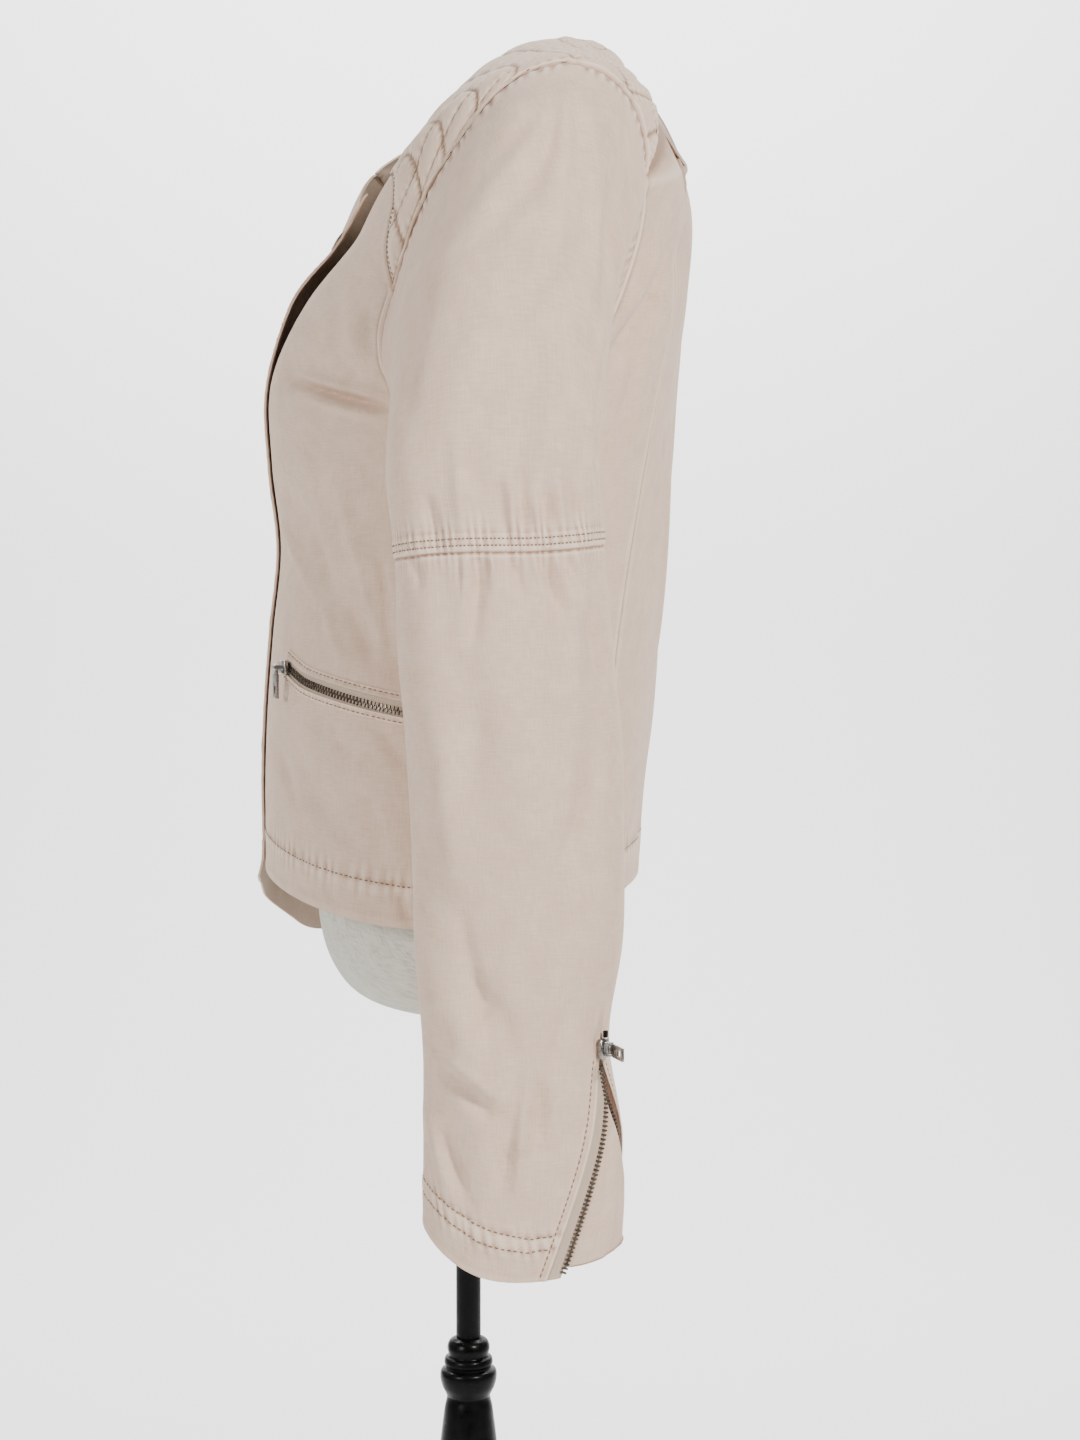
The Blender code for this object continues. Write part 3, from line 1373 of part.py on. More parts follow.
def main():
    clear_scene()
    build_fronts()
    build_back()
    build_side_backs()
    build_yokes()
    build_sleeves()
    build_cuffs()
    build_pockets()
    build_snaps()
    build_pocket_pulls()
    build_cuff_pulls()
    build_form()
    build_stand()


main()
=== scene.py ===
import math
from collections import namedtuple

import bpy
import numpy as np
from mathutils import Matrix, Vector
from mathutils.bvhtree import BVHTree


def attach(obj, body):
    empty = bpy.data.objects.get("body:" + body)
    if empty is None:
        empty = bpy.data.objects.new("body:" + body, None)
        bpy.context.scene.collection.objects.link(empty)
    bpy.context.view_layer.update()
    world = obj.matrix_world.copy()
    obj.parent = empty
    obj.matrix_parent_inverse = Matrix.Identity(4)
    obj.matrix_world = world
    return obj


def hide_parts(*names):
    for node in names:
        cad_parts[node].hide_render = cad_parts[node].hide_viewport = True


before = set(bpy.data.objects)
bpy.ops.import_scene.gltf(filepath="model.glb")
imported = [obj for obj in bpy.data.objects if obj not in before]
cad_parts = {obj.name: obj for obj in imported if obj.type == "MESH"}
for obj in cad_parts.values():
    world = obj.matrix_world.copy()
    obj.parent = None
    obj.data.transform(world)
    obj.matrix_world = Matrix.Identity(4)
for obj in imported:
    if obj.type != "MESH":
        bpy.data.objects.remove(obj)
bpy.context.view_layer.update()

# A collarless cotton biker jacket on a limbless dress form, dressed in its cloth, sewing
# and metal. Metres, +Z up, the jacket's front faces -Y and the wearer's left +X.

MM = 0.001


# ---------------------------------------------------------------- sizes, as cut and sewn

WALL = 1.2 * MM  # a layer of the cotton with the turnings behind it
SHELL_OUT = 0.8 * MM  # from the middle of the source's wall to its outside
SEAM = 0.3 * MM
OVERLAP_REACH = 22 * MM  # each front runs this far past the middle
LAYER = 3.1 * MM  # the right front lies this far off the left one
LIFT_AT_NECK = 7 * MM
BULGE_AT_CHEST = 9 * MM
FLARE_AT_HEM = 6 * MM
RISE_AT_NECK = 14 * MM

# Quilting on the shoulder yokes
DIAMOND = 25 * MM
QUILT_SLANTS = (-50, 28)  # degrees, of the two families of stitching, from neck to armhole

# How much lower the right side of the hem hangs
RIGHT_HEM_DROP = 0.96  # in rows of BODY_RINGS

# Where the yoke's seams meet the neckline, from the middle line
YOKE_SEAM_FROM_MIDDLE = 32 * MM
YOKE_SEAM_AT_BACK_NECK = 30 * MM

# Fine places for each of the source's quads, on the panels here
FINE = 12
BACK_FINE = 8
SIDE_BACK_FINE = 10

# Counts of the source's quads
ARMHOLE_POINTS = 24
BACK_ROWS = 16
ARMHOLE_ROWS = 6  # of the front, beside the armhole and beside the yoke
YOKE_ARMHOLE_ROWS = 11
FRONT_COLUMNS = 13
SIDE_ROWS = 9
YOKE_COLUMNS = 12
YOKE_TO_BACK_CENTRE = 7  # of the yoke's columns, those sewn to the centre back
NECK_COLUMNS = 3
# Points of the armhole at which the panels' corners lie
BACK_YOKE_POINT = 4
UNDERARM_POINT = 11
FRONT_YOKE_POINT = 17

SIDE_VIEW_DIP = 1.9  # how a ring falls from its side to its middle
HALVINGS = 40  # steps of the search for a level
FOLD_ROW = 50 * MM  # a row of BODY_RINGS is about this high
FOLD_RADIUS = 140 * MM

BodyRing = namedtuple("BodyRing", "side_z half_width side_y front_y front_z back_y back_z square")
BODY_RINGS = tuple(BodyRing(*row) for row in (
    (0.842, 0.169, -0.008, -0.1175, 0.864, 0.0990, 0.858, 2.4),
    (0.897, 0.169, -0.008, -0.1155, 0.918, 0.0996, 0.913, 2.4),
    (0.950, 0.167, -0.006, -0.1160, 0.965, 0.1018, 0.961, 2.4),
    (1.000, 0.165, -0.003, -0.1145, 1.008, 0.1073, 1.005, 2.4),
    (1.050, 0.162, 0.000, -0.1110, 1.053, 0.1118, 1.051, 2.4),
    (1.100, 0.161, 0.004, -0.1065, 1.100, 0.1150, 1.100, 2.4),
    (1.150, 0.164, 0.012, -0.1115, 1.148, 0.1180, 1.150, 2.4),
    (1.200, 0.169, 0.022, -0.1120, 1.194, 0.1217, 1.198, 2.3),
    (1.250, 0.174, 0.034, -0.0935, 1.235, 0.1278, 1.246, 2.2),
    (1.300, 0.181, 0.047, -0.0690, 1.262, 0.1300, 1.291, 2.1),
    (1.339, 0.188, 0.056, -0.0590, 1.278, 0.1175, 1.328, 2.0),
    (1.3600, 0.134, 0.055, -0.0550, 1.286, 0.1020, 1.3570, 2.0),
    (1.3785, 0.080, 0.053, -0.0515, 1.293, 0.0845, 1.3835, 2.0),
))
HEM = 1.0
NECK = len(BODY_RINGS) - 1.0

Stitch = namedtuple("Stitch", "y z")
# The armhole as the side view shows it, from the shoulder round by the back.
ARMHOLE_TO_BACK_YOKE = tuple(Stitch(*row) for row in (
    (0.056, 1.3420), (0.075, 1.3375), (0.089, 1.3270), (0.096, 1.3100), (0.097, 1.2920),
))
ARMHOLE_BACK = tuple(Stitch(*row) for row in (
    (0.097, 1.2920), (0.094, 1.2650), (0.086, 1.2380), (0.073, 1.2080), (0.054, 1.1780),
    (0.034, 1.1580),
))
ARMHOLE_FRONT = tuple(Stitch(*row) for row in (
    (-0.008, 1.1560), (-0.027, 1.1690), (-0.037, 1.1900), (-0.037, 1.2120), (-0.033, 1.2300),
))
ARMHOLE_FRONT_YOKE = tuple(Stitch(*row) for row in (
    (-0.033, 1.2300), (-0.027, 1.2500), (-0.0205, 1.2680), (-0.0115, 1.2870), (0.0020, 1.3060),
    (0.0160, 1.3220), (0.0340, 1.3355), (0.056, 1.3420),
))
UNDERARM_Z = 1.150

# The seam down the back, from the yoke to the hem.
BACK_SEAM = tuple(Stitch(*row) for row in (
    (0.1215, 1.3180), (0.1225, 1.2830), (0.1160, 1.2270), (0.1050, 1.1700), (0.0960, 1.1200),
    (0.0870, 1.0620), (0.0800, 1.0000), (0.0740, 0.9500), (0.0700, 0.9020),
))

# Soft folds of the body, as troughs (depth below 0 is a ridge) from one place to another.
Fold = namedtuple("Fold", "from_y from_z to_y to_z half_width depth")
BODY_FOLDS = tuple(Fold(*row) for row in (
    (-0.095, 1.196, -0.040, 1.180, 11 * MM, 5.0 * MM),
    (-0.088, 1.222, -0.045, 1.205, 14 * MM, -2.5 * MM),
    (-0.098, 1.125, -0.055, 1.050, 13 * MM, 3.5 * MM),
    (-0.080, 1.140, -0.035, 1.060, 12 * MM, -2.5 * MM),
    (-0.075, 1.128, -0.030, 1.035, 11 * MM, 3.5 * MM),
    (-0.095, 0.990, -0.045, 0.930, 16 * MM, 2.0 * MM),
    (0.120, 1.262, 0.088, 1.200, 13 * MM, 4.0 * MM),
    (0.108, 1.120, 0.080, 1.000, 14 * MM, 2.5 * MM),
    (0.098, 1.060, 0.060, 0.930, 15 * MM, -2.0 * MM),
))

SleeveRing = namedtuple(
    "SleeveRing", "z inner_x outer_x front_y back_y front_rise back_rise square"
)
SLEEVE_RINGS = tuple(SleeveRing(*row) for row in (
    (1.128, 0.1695, 0.2540, -0.0335, 0.0720, 0.000, 0.000, 2.9),
    (1.093, 0.1690, 0.2560, -0.0290, 0.0745, -0.003, 0.004, 2.6),
    (1.050, 0.1695, 0.2575, -0.0280, 0.0785, -0.002, 0.003, 2.4),
    (1.000, 0.1705, 0.2575, -0.0240, 0.0835, 0.000, 0.000, 2.4),
    (0.950, 0.1730, 0.2570, -0.0210, 0.0845, 0.000, 0.000, 2.4),
    (0.900, 0.1755, 0.2550, -0.0185, 0.0840, 0.000, 0.000, 2.4),
    (0.850, 0.1765, 0.2520, -0.0155, 0.0770, 0.002, 0.000, 2.4),
    (0.797, 0.1765, 0.2505, -0.0155, 0.0835, 0.010, 0.003, 2.4),
    (0.7335, 0.1760, 0.2500, -0.0155, 0.0790, 0.022, 0.010, 2.4),
))
SLEEVE_COLUMNS = 24
CAP_ROWS = 6
SLIT_COLUMN = 4
SLIT_TOP = 6.1  # in rows of SLEEVE_RINGS
NEAR_SLIT_ANGLE = 14.0
FAR_SLIT_ANGLE = 108.0
# Rows of SLEEVE_RINGS at which the sleeve has points, below the cap
SLEEVE_LEVELS = (0.0, 1.0, 1.5, 2.0, 2.8, 3.6, 4.4, 5.2, SLIT_TOP, 6.6, 7.1, 7.55, 8.0)
SLIT_START = CAP_ROWS + SLEEVE_LEVELS.index(SLIT_TOP)

SleeveFold = namedtuple("SleeveFold", "from_angle from_row to_angle to_row width depth")
SLEEVE_FOLDS = tuple(SleeveFold(*row) for row in (
    (330, 7.2, 342, 10.2, 11, 2.2 * MM), (12, 7.2, 8, 9.6, 10, 2.0 * MM),
    (40, 7.2, 30, 10.6, 11, -1.8 * MM), (66, 7.4, 40, 10.8, 10, 2.4 * MM),
    (300, 11.6, 345, 13.2, 12, 2.4 * MM), (285, 13.0, 350, 15.4, 12, -2.0 * MM),
    (318, 14.6, 352, 16.6, 10, 2.2 * MM), (200, 8.0, 170, 12.0, 14, 2.4 * MM),
    (232, 4.4, 250, 6.6, 13, 2.0 * MM), (84, 1.0, 72, 5.4, 11, 3.0 * MM),
    (58, 1.0, 54, 5.2, 9, -3.0 * MM),
))

# Cuff zip and gusset
TAPE_WIDTH = 7 * MM
CUFF_TOOTH = (1.25 * MM, 3.4 * MM, 1.8 * MM)
CUFF_TOOTH_PITCH = 2.2 * MM
GUSSET_INSET = 2.2 * MM
GUSSET_BULGE = 9 * MM
GUSSET_HEM_RISE = 5 * MM
SLIDER_BELOW_SLIT = 0.14  # in rows of SLEEVE_RINGS

# Pocket zip on each front, from near the middle to the side
POCKET_START = Stitch(-0.0950, 1.0350)
POCKET_BEND = Stitch(-0.0830, 1.0262)
POCKET_END = Stitch(-0.0100, 1.0095)
POCKET_CHAIN = 8 * MM
POCKET_WELT = 4.5 * MM
POCKET_PLACES = 121  # along the zip
POCKET_TOOTH = (0.85 * MM, 2.5 * MM, 1.7 * MM)
POCKET_TOOTH_PITCH = 1.1 * MM
POCKET_TOOTH_ASIDE = 0.95 * MM  # of the chain's middle

SNAPS = 5  # down the right front
SNAP_RADIUS = 7 * MM

# Dress form
FORM_RINGS = tuple(BodyRing(*row) for row in (
    (0.8400, 0.085, 0.002, -0.0350, 0.8400, 0.0400, 0.8400, 2.1),
    (0.8420, 0.118, 0.002, -0.0570, 0.8420, 0.0660, 0.8420, 2.1),
    (0.8530, 0.142, 0.002, -0.0742, 0.8530, 0.0820, 0.8530, 2.1),
    (0.8800, 0.152, 0.002, -0.0858, 0.8800, 0.0890, 0.8800, 2.1),
    (0.9300, 0.155, 0.002, -0.0890, 0.9300, 0.0905, 0.9300, 2.1),
    (0.9900, 0.147, 0.002, -0.0870, 0.9900, 0.0930, 0.9900, 2.1),
    (1.0400, 0.134, 0.002, -0.0820, 1.0400, 0.0930, 1.0400, 2.1),
    (1.0900, 0.128, 0.004, -0.0800, 1.0900, 0.0950, 1.0900, 2.1),
    (1.1400, 0.138, 0.010, -0.0890, 1.1380, 0.1020, 1.1400, 2.1),
    (1.1900, 0.148, 0.020, -0.0980, 1.1830, 0.1100, 1.1880, 2.1),
    (1.2400, 0.154, 0.032, -0.0820, 1.2240, 0.1170, 1.2360, 2.1),
    (1.2900, 0.160, 0.045, -0.0580, 1.2520, 0.1190, 1.2830, 2.1),
    (1.3270, 0.165, 0.055, -0.0470, 1.2680, 0.1090, 1.3190, 2.0),
    (1.3510, 0.128, 0.055, -0.0420, 1.2770, 0.0950, 1.3480, 2.0),
    (1.3670, 0.088, 0.052, -0.0360, 1.2870, 0.0830, 1.3670, 2.0),
    (1.3700, 0.064, 0.048, -0.0210, 1.3070, 0.0750, 1.3720, 2.0),
    (1.3740, 0.056, 0.043, -0.0100, 1.3280, 0.0710, 1.3775, 2.0),
    (1.3780, 0.053, 0.038, -0.0080, 1.3460, 0.0690, 1.3815, 2.0),
    (1.3800, 0.044, 0.036, -0.0020, 1.3520, 0.0640, 1.3835, 2.0),
))

# Stand
POLE_RADIUS = 7.4 * MM
POLE_FOOT = 0.630
POLE_SUNK = 1.4 * MM  # into the column's top
Turn = namedtuple("Turn", "radius z")
COLUMN_PROFILE = tuple(Turn(*row) for row in (
    (0.0085, 0.6285), (0.0115, 0.6265), (0.0128, 0.6225), (0.0120, 0.6180), (0.0140, 0.6165),
    (0.0146, 0.6135), (0.0136, 0.6110), (0.0164, 0.6090), (0.0170, 0.6050), (0.0158, 0.5995),
    (0.0134, 0.5945), (0.0131, 0.5920), (0.0150, 0.5820), (0.0185, 0.5450), (0.0205, 0.4700),
    (0.0190, 0.3600), (0.0165, 0.2500), (0.0150, 0.1500), (0.0165, 0.0900), (0.0220, 0.0600),
    (0.0330, 0.0420), (0.0460, 0.0330),
))
BASE_PROFILE = tuple(Turn(*row) for row in (
    (0.0550, 0.0327), (0.1100, 0.0280), (0.1500, 0.0190), (0.1600, 0.0120), (0.1610, 0.0060),
    (0.1590, 0.0000),
))


# ---------------------------------------------------------------- surfaces


def table_columns(table, level):
    """The columns of a ring table at fractional rows, smooth from row to row."""
    rows = np.array(table, float)
    last = len(rows) - 1
    level = np.clip(np.asarray(level, float), 0.0, last)
    row = np.minimum(np.floor(level).astype(int), last - 1)
    part = (level - row)[..., None]
    here = rows[row]
    there = rows[row + 1]
    before = np.where((row > 0)[..., None], rows[np.maximum(row - 1, 0)], 2 * here - there)
    is_last = (row + 2 > last)[..., None]
    after = np.where(is_last, 2 * there - here, rows[np.minimum(row + 2, last)])
    slope = 0.5 * (there - before)
    next_slope = 0.5 * (after - here)
    rise = there - here
    bend = 3 * rise - 2 * slope - next_slope
    twist = slope + next_slope - 2 * rise
    value = here + part * (slope + part * (bend + part * twist))
    return np.moveaxis(value, -1, 0)


def signed_power(value, power):
    return np.sign(value) * np.abs(value) ** power


def ring_surface(table, angle, level):
    """A place on a body, from the angle round it (0 is the left side, 90 the back)."""
    side_z, half_width, side_y, front_y, front_z, back_y, back_z, square = table_columns(
        table, level
    )
    across = signed_power(np.cos(angle), 2 / square)
    along = np.abs(np.sin(angle)) ** (2 / square)
    is_front = np.sin(angle) < 0
    end_y = np.where(is_front, front_y, back_y)
    end_z = np.where(is_front, front_z, back_z)
    y = side_y + (end_y - side_y) * along
    z = side_z + (end_z - side_z) * along**SIDE_VIEW_DIP
    return np.stack([half_width * across, y, z], axis=-1)


def ring_normal(table, angle, level):
    turn = 0.02
    step = 0.08
    along = ring_surface(table, angle + turn, level) - ring_surface(table, angle - turn, level)
    up = ring_surface(table, angle, level + step) - ring_surface(table, angle, level - step)
    return unit(np.cross(along, up))


def unit(vectors):
    return vectors / np.maximum(np.linalg.norm(vectors, axis=-1, keepdims=True), 1e-12)


def smooth_step(low, high, value):
    part = np.clip((value - low) / (high - low), 0.0, 1.0)
    return part * part * (3 - 2 * part)


def side_place(stitch):
    """The angle and level on the left half of the body that the side view shows at y, z."""
    low = 0.0
    high = NECK
    for _ in range(HALVINGS):
        level = (low + high) / 2
        side_z, _, side_y, front_y, front_z, back_y, back_z, square = table_columns(
            BODY_RINGS, level
        )
        is_front = stitch.y < side_y
        end_y = front_y if is_front else back_y
        end_z = front_z if is_front else back_z
        reach = min(abs(stitch.y - side_y) / abs(end_y - side_y), 1.0)
        height = side_z + (end_z - side_z) * reach**SIDE_VIEW_DIP
        if height < stitch.z:
            low = level
        else:
            high = level
    angle = math.asin(reach ** (square / 2))
    return np.array([-angle if is_front else angle, level])


def angle_from_middle(distance, level, middle):
    """The angle at which the body is this far to the left of its middle line."""
    _, half_width, _, _, _, _, _, square = table_columns(BODY_RINGS, level)
    share = signed_power(distance / half_width, square / 2)
    return math.copysign(1, middle) * np.arccos(share)


def arc_lengths(points, axis):
    """How far each place lies along its line from the line's start."""
    steps = np.linalg.norm(np.diff(points, axis=axis), axis=-1)
    start = np.zeros_like(np.take(steps, [0], axis=axis))
    return np.concatenate([start, np.cumsum(steps, axis=axis)], axis=axis)


def read_off(table, wanted, places=None):
    """A table's rows at fractional places along it."""
    places = np.arange(len(table)) if places is None else places
    return np.stack([np.interp(wanted, places, column) for column in table.T], axis=1)


def straight(start, end, count):
    """Evenly spaced places from one to another."""
    share = np.linspace(0, 1, count)[:, None]
    return (1 - share) * start + share * end


def smooth_line(points, count):
    """Evenly spaced places on a smooth line through the given points."""
    dense = table_columns(points, np.linspace(0, len(points) - 1, 400)).T
    travelled = arc_lengths(dense, 0)
    return read_off(dense, np.linspace(0, travelled[-1], count + 1), travelled)


def side_line(stitches, count):
    return np.array([side_place(Stitch(y, z)) for y, z in smooth_line(stitches, count)])


def level_at_side(height):
    levels = np.linspace(0, NECK, 600)
    return float(np.interp(height, table_columns(BODY_RINGS, levels)[0], levels))


UNDERARM = np.array([0.0, level_at_side(UNDERARM_Z)])
UP = np.array([0.0, 0.0, 1.0])


# ---------------------------------------------------------------- seam lines


def fine_armhole():
    """The armhole's seam, FINE places for each of the source's, from the shoulder round."""
    side_z, _, side_y = table_columns(BODY_RINGS, UNDERARM[1])[:3]
    under = Stitch(float(side_y), float(side_z))
    runs = (
        (ARMHOLE_TO_BACK_YOKE, BACK_YOKE_POINT),
        (ARMHOLE_BACK + (under,), UNDERARM_POINT - BACK_YOKE_POINT),
        ((under,) + ARMHOLE_FRONT, FRONT_YOKE_POINT - UNDERARM_POINT),
        (ARMHOLE_FRONT_YOKE, ARMHOLE_POINTS - FRONT_YOKE_POINT),
    )
    to_yoke, back, front, front_yoke = (side_line(run, count * FINE) for run, count in runs)
    back[-1] = UNDERARM
    front[0] = UNDERARM
    return np.concatenate([to_yoke[:-1], back[:-1], front[:-1], front_yoke])


ARMHOLE = fine_armhole()


def armhole_line(start, end, count):
    """Places along the armhole between two of the source's points, round past the shoulder."""
    wanted = (np.linspace(start, end, count + 1) % ARMHOLE_POINTS) * FINE
    if end == ARMHOLE_POINTS:
        wanted[-1] = ARMHOLE_POINTS * FINE
    return read_off(ARMHOLE, wanted)


def yoke_seam(count, from_middle, middle, point, bow):
    """From the neckline to a point of the armhole, bowed by an angle and a level."""
    start = np.array([angle_from_middle(from_middle, NECK, middle), NECK])
    end = armhole_line(point, point + 1, 1)[0]
    share = np.linspace(0, 1, count + 1)[:, None]
    return (1 - share) * start + share * end + 4 * share * (1 - share) * np.array(bow)


def front_yoke_seam(count):
    return yoke_seam(count, YOKE_SEAM_FROM_MIDDLE, -1, FRONT_YOKE_POINT, (-0.05, -0.35))


def back_yoke_seam(count):
    return yoke_seam(count, YOKE_SEAM_AT_BACK_NECK, 1, BACK_YOKE_POINT, (0.06, -0.25))


FINE_BACK_SEAM = side_line(BACK_SEAM[::-1], BACK_ROWS * FINE)


def back_seam(count):
    """From the hem to the yoke."""
    line = FINE_BACK_SEAM.copy()
    line[0, 1] = HEM
    line[-1] = back_yoke_seam(YOKE_COLUMNS)[YOKE_TO_BACK_CENTRE]
    return read_off(line, np.linspace(0, BACK_ROWS * FINE, count + 1))


def side_seam(count):
    levels = np.linspace(HEM, UNDERARM[1], count + 1)
    return np.stack([np.zeros(count + 1), levels], axis=1)


# ---------------------------------------------------------------- cloth


def patch(bottom, top, left, right):
    """Angles and levels spread evenly between four sides."""
    across = np.linspace(0, 1, len(bottom))[None, :, None]
    up = np.linspace(0, 1, len(left))[:, None, None]
    sideways = (1 - across) * left[:, None] + across * right[:, None]
    upward = (1 - up) * bottom[None] + up * top[None]
    low = (1 - across) * bottom[0] + across * bottom[-1]
    high = (1 - across) * top[0] + across * top[-1]
    return sideways + upward - (1 - up) * low - up * high


def rim(outer, inner, turned):
    """Joins an edge of the outside to the inside's, which has half as many places."""
    faces = []
    for step in range(len(inner) - 1):
        a, b, c = outer[2 * step : 2 * step + 3]
        i, j = inner[step : step + 2]
        for face in ((a, b, i), (b, j, i), (b, c, j)):
            faces.append(face[::-1] if turned else face)
    return faces


def quads_of(index, turned):
    a, b = index[:-1, :-1], index[:-1, 1:]
    c, d = index[1:, 1:], index[1:, :-1]
    corners = [d, c, b, a] if turned else [a, b, c, d]
    return np.stack(corners, axis=-1).reshape(-1, 4).tolist()


def trough_sag(outer, normals):
    """How far a trough's bottom lies under the straight line over it, near each place."""
    sag = np.zeros(outer.shape[:2])
    for axis in (0, 1):
        steps = np.moveaxis(outer, axis, 0)
        found = np.zeros(steps.shape[:2])
        over = (steps[2:] + steps[:-2]) / 2 - steps[1:-1]
        found[1:-1] = np.sum(over * np.moveaxis(normals, axis, 0)[1:-1], axis=-1)
        sag = np.maximum(sag, np.moveaxis(found, 0, axis))
    for axis in (0, 1):
        steps = np.moveaxis(sag, axis, 0)
        steps[1:-1] = np.maximum(np.maximum(steps[:-2], steps[2:]), steps[1:-1])
    return sag


def cloth_shell(name, grid, finish, thickness=WALL, joined_to=-1, flipped=False):
    """A thin closed shell on a grid of places, rows by columns, with a map in metres.

    The inside has every second place. Rows up to joined_to close into a tube, whose last
    column repeats the first. The columns run leftwards round the body and rows upwards.
    """
    outer = grid.outer
    depth = thickness + trough_sag(outer, grid.normals)[..., None]
    inner = (outer - grid.normals * depth)[::2, ::2]
    rows, columns = outer.shape[:2]
    index = np.arange(rows * columns).reshape(rows, columns)
    inside = rows * columns + np.arange(inner.shape[0] * inner.shape[1]).reshape(inner.shape[:2])
    if joined_to >= 0:
        index[: joined_to + 1, -1] = index[: joined_to + 1, 0]
        inside[: joined_to // 2 + 1, -1] = inside[: joined_to // 2 + 1, 0]
    faces = quads_of(index, flipped) + quads_of(inside, not flipped)
    edges = [(index[0][::-1], inside[0][::-1]), (index[-1], inside[-1])]
    if joined_to < rows - 1:
        first = max(joined_to, 0)
        edges += [
            (index[first:, 0], inside[first // 2 :, 0]),
            (index[first:, -1][::-1], inside[first // 2 :, -1][::-1]),
        ]
    rims = []
    for outside, within in edges:
        rims += rim(outside.tolist(), within.tolist(), flipped)
    mesh = bpy.data.meshes.new(name)
    places = np.concatenate([outer.reshape(-1, 3), inner.reshape(-1, 3)])
    mesh.from_pydata(places.tolist(), [], faces + rims)
    flat = np.concatenate([grid.flat.reshape(-1, 2), grid.flat[::2, ::2].reshape(-1, 2)])
    corners = np.empty(len(mesh.loops), int)
    mesh.loops.foreach_get("vertex_index", corners)
    layer = mesh.uv_layers.new(name="cloth")
    spread = flat[corners]
    wear = np.concatenate([grid.wear.ravel(), 0.5 * grid.wear[::2, ::2].ravel()])
    mesh.attributes.new("wear", "FLOAT", "POINT").data.foreach_set("value", wear)
    if joined_to >= 0:
        spread = unwrapped(spread, corners, index, inside, grid.flat)
    layer.data.foreach_set("uv", spread.ravel())
    mesh.materials.append(finish)
    if finish == COTTON:
        # The inside faces take the darker cotton, painted shade for the jacket's shadowed inside.
        mesh.materials.append(SHADED_COTTON_INSIDE)
        side = np.zeros(len(mesh.polygons), int)
        side[(rows - 1) * (columns - 1) : len(faces)] = 1
        mesh.polygons.foreach_set("material_index", side)
    mesh.shade_smooth()
    mesh.set_sharp_from_angle(angle=math.radians(62))
    return into_scene(name, mesh)


def unwrapped(spread, corners, index, inside, flat):
    """Gives the tube's last column of faces the map's far edge, not its near one."""
    start = 0
    for table, step in ((index, 1), (inside, 2)):
        rows, columns = table.shape[0] - 1, table.shape[1] - 1
        for row in range(rows):
            face = start + (row + 1) * columns - 1
            for loop in range(4 * face, 4 * face + 4):
                for place in (row, row + 1):
                    if corners[loop] == table[place, 0]:
                        spread[loop] = flat[min(place * step, len(flat) - 1), -1]
        start += rows * columns
    return spread


def into_scene(name, mesh):
    piece = bpy.data.objects.new(name, mesh)
    bpy.context.scene.collection.objects.link(piece)
    return piece


# A panel's outside, the way out of it, its flat map, the places it was laid from, and how far its
# small shapes stand up (1) or down (-1), less the shade given at seams: drawn paler on raised
# places, as rubbed cotton is, and darker in sunk places and at seams as painted shade.
Cloth = namedtuple("Cloth", "outer normals flat base wear")


def blurred(table, reach):
    """An array's local mean over a few rows and columns."""
    for axis in (0, 1):
        padding = [(0, 0), (0, 0)]
        padding[axis] = (reach, reach)
        padded = np.pad(table, padding, mode="edge")
        total = np.cumsum(padded, axis=axis)
        total = np.concatenate([np.zeros_like(np.take(total, [0], axis)), total], axis=axis)
        size = table.shape[axis]
        high = np.take(total, np.arange(2 * reach + 1, 2 * reach + 1 + size), axis)
        low = np.take(total, np.arange(size), axis)
        table = (high - low) / (2 * reach + 1)
    return table


def relief_wear_and_shade(out, reach=2):
    """Where the cloth's small shapes stand above (1) or below (-1) what lies round them, for the
    colour: paler above as rubbed cotton, darker below as painted shade.
    """
    return np.clip((out - blurred(out, reach)) / (0.30 * MM), -1, 1)


def fine_normals(outer):
    """The way out of a panel at each of its places."""
    return unit(np.cross(np.gradient(outer, axis=1), np.gradient(outer, axis=0)))


def laid(points, normals, out, shade=0.0):
    """A panel's outside, moved out by an array, with its lengths on the flat."""
    along = arc_lengths(points, 1)
    up = arc_lengths(points, 0)
    middle = along.shape[1] // 2
    across = along - along[:, middle][:, None]
    flat = np.stack([across, up[:, middle][:, None] + 0 * up], axis=-1)
    outer = points + normals * (SHELL_OUT + out)[..., None]
    # Its colour attribute: raised places paler as rubbed cotton, sunk places and the given shade
    # darker as painted shade.
    return Cloth(outer, fine_normals(outer), flat, points, relief_wear_and_shade(out) - shade)


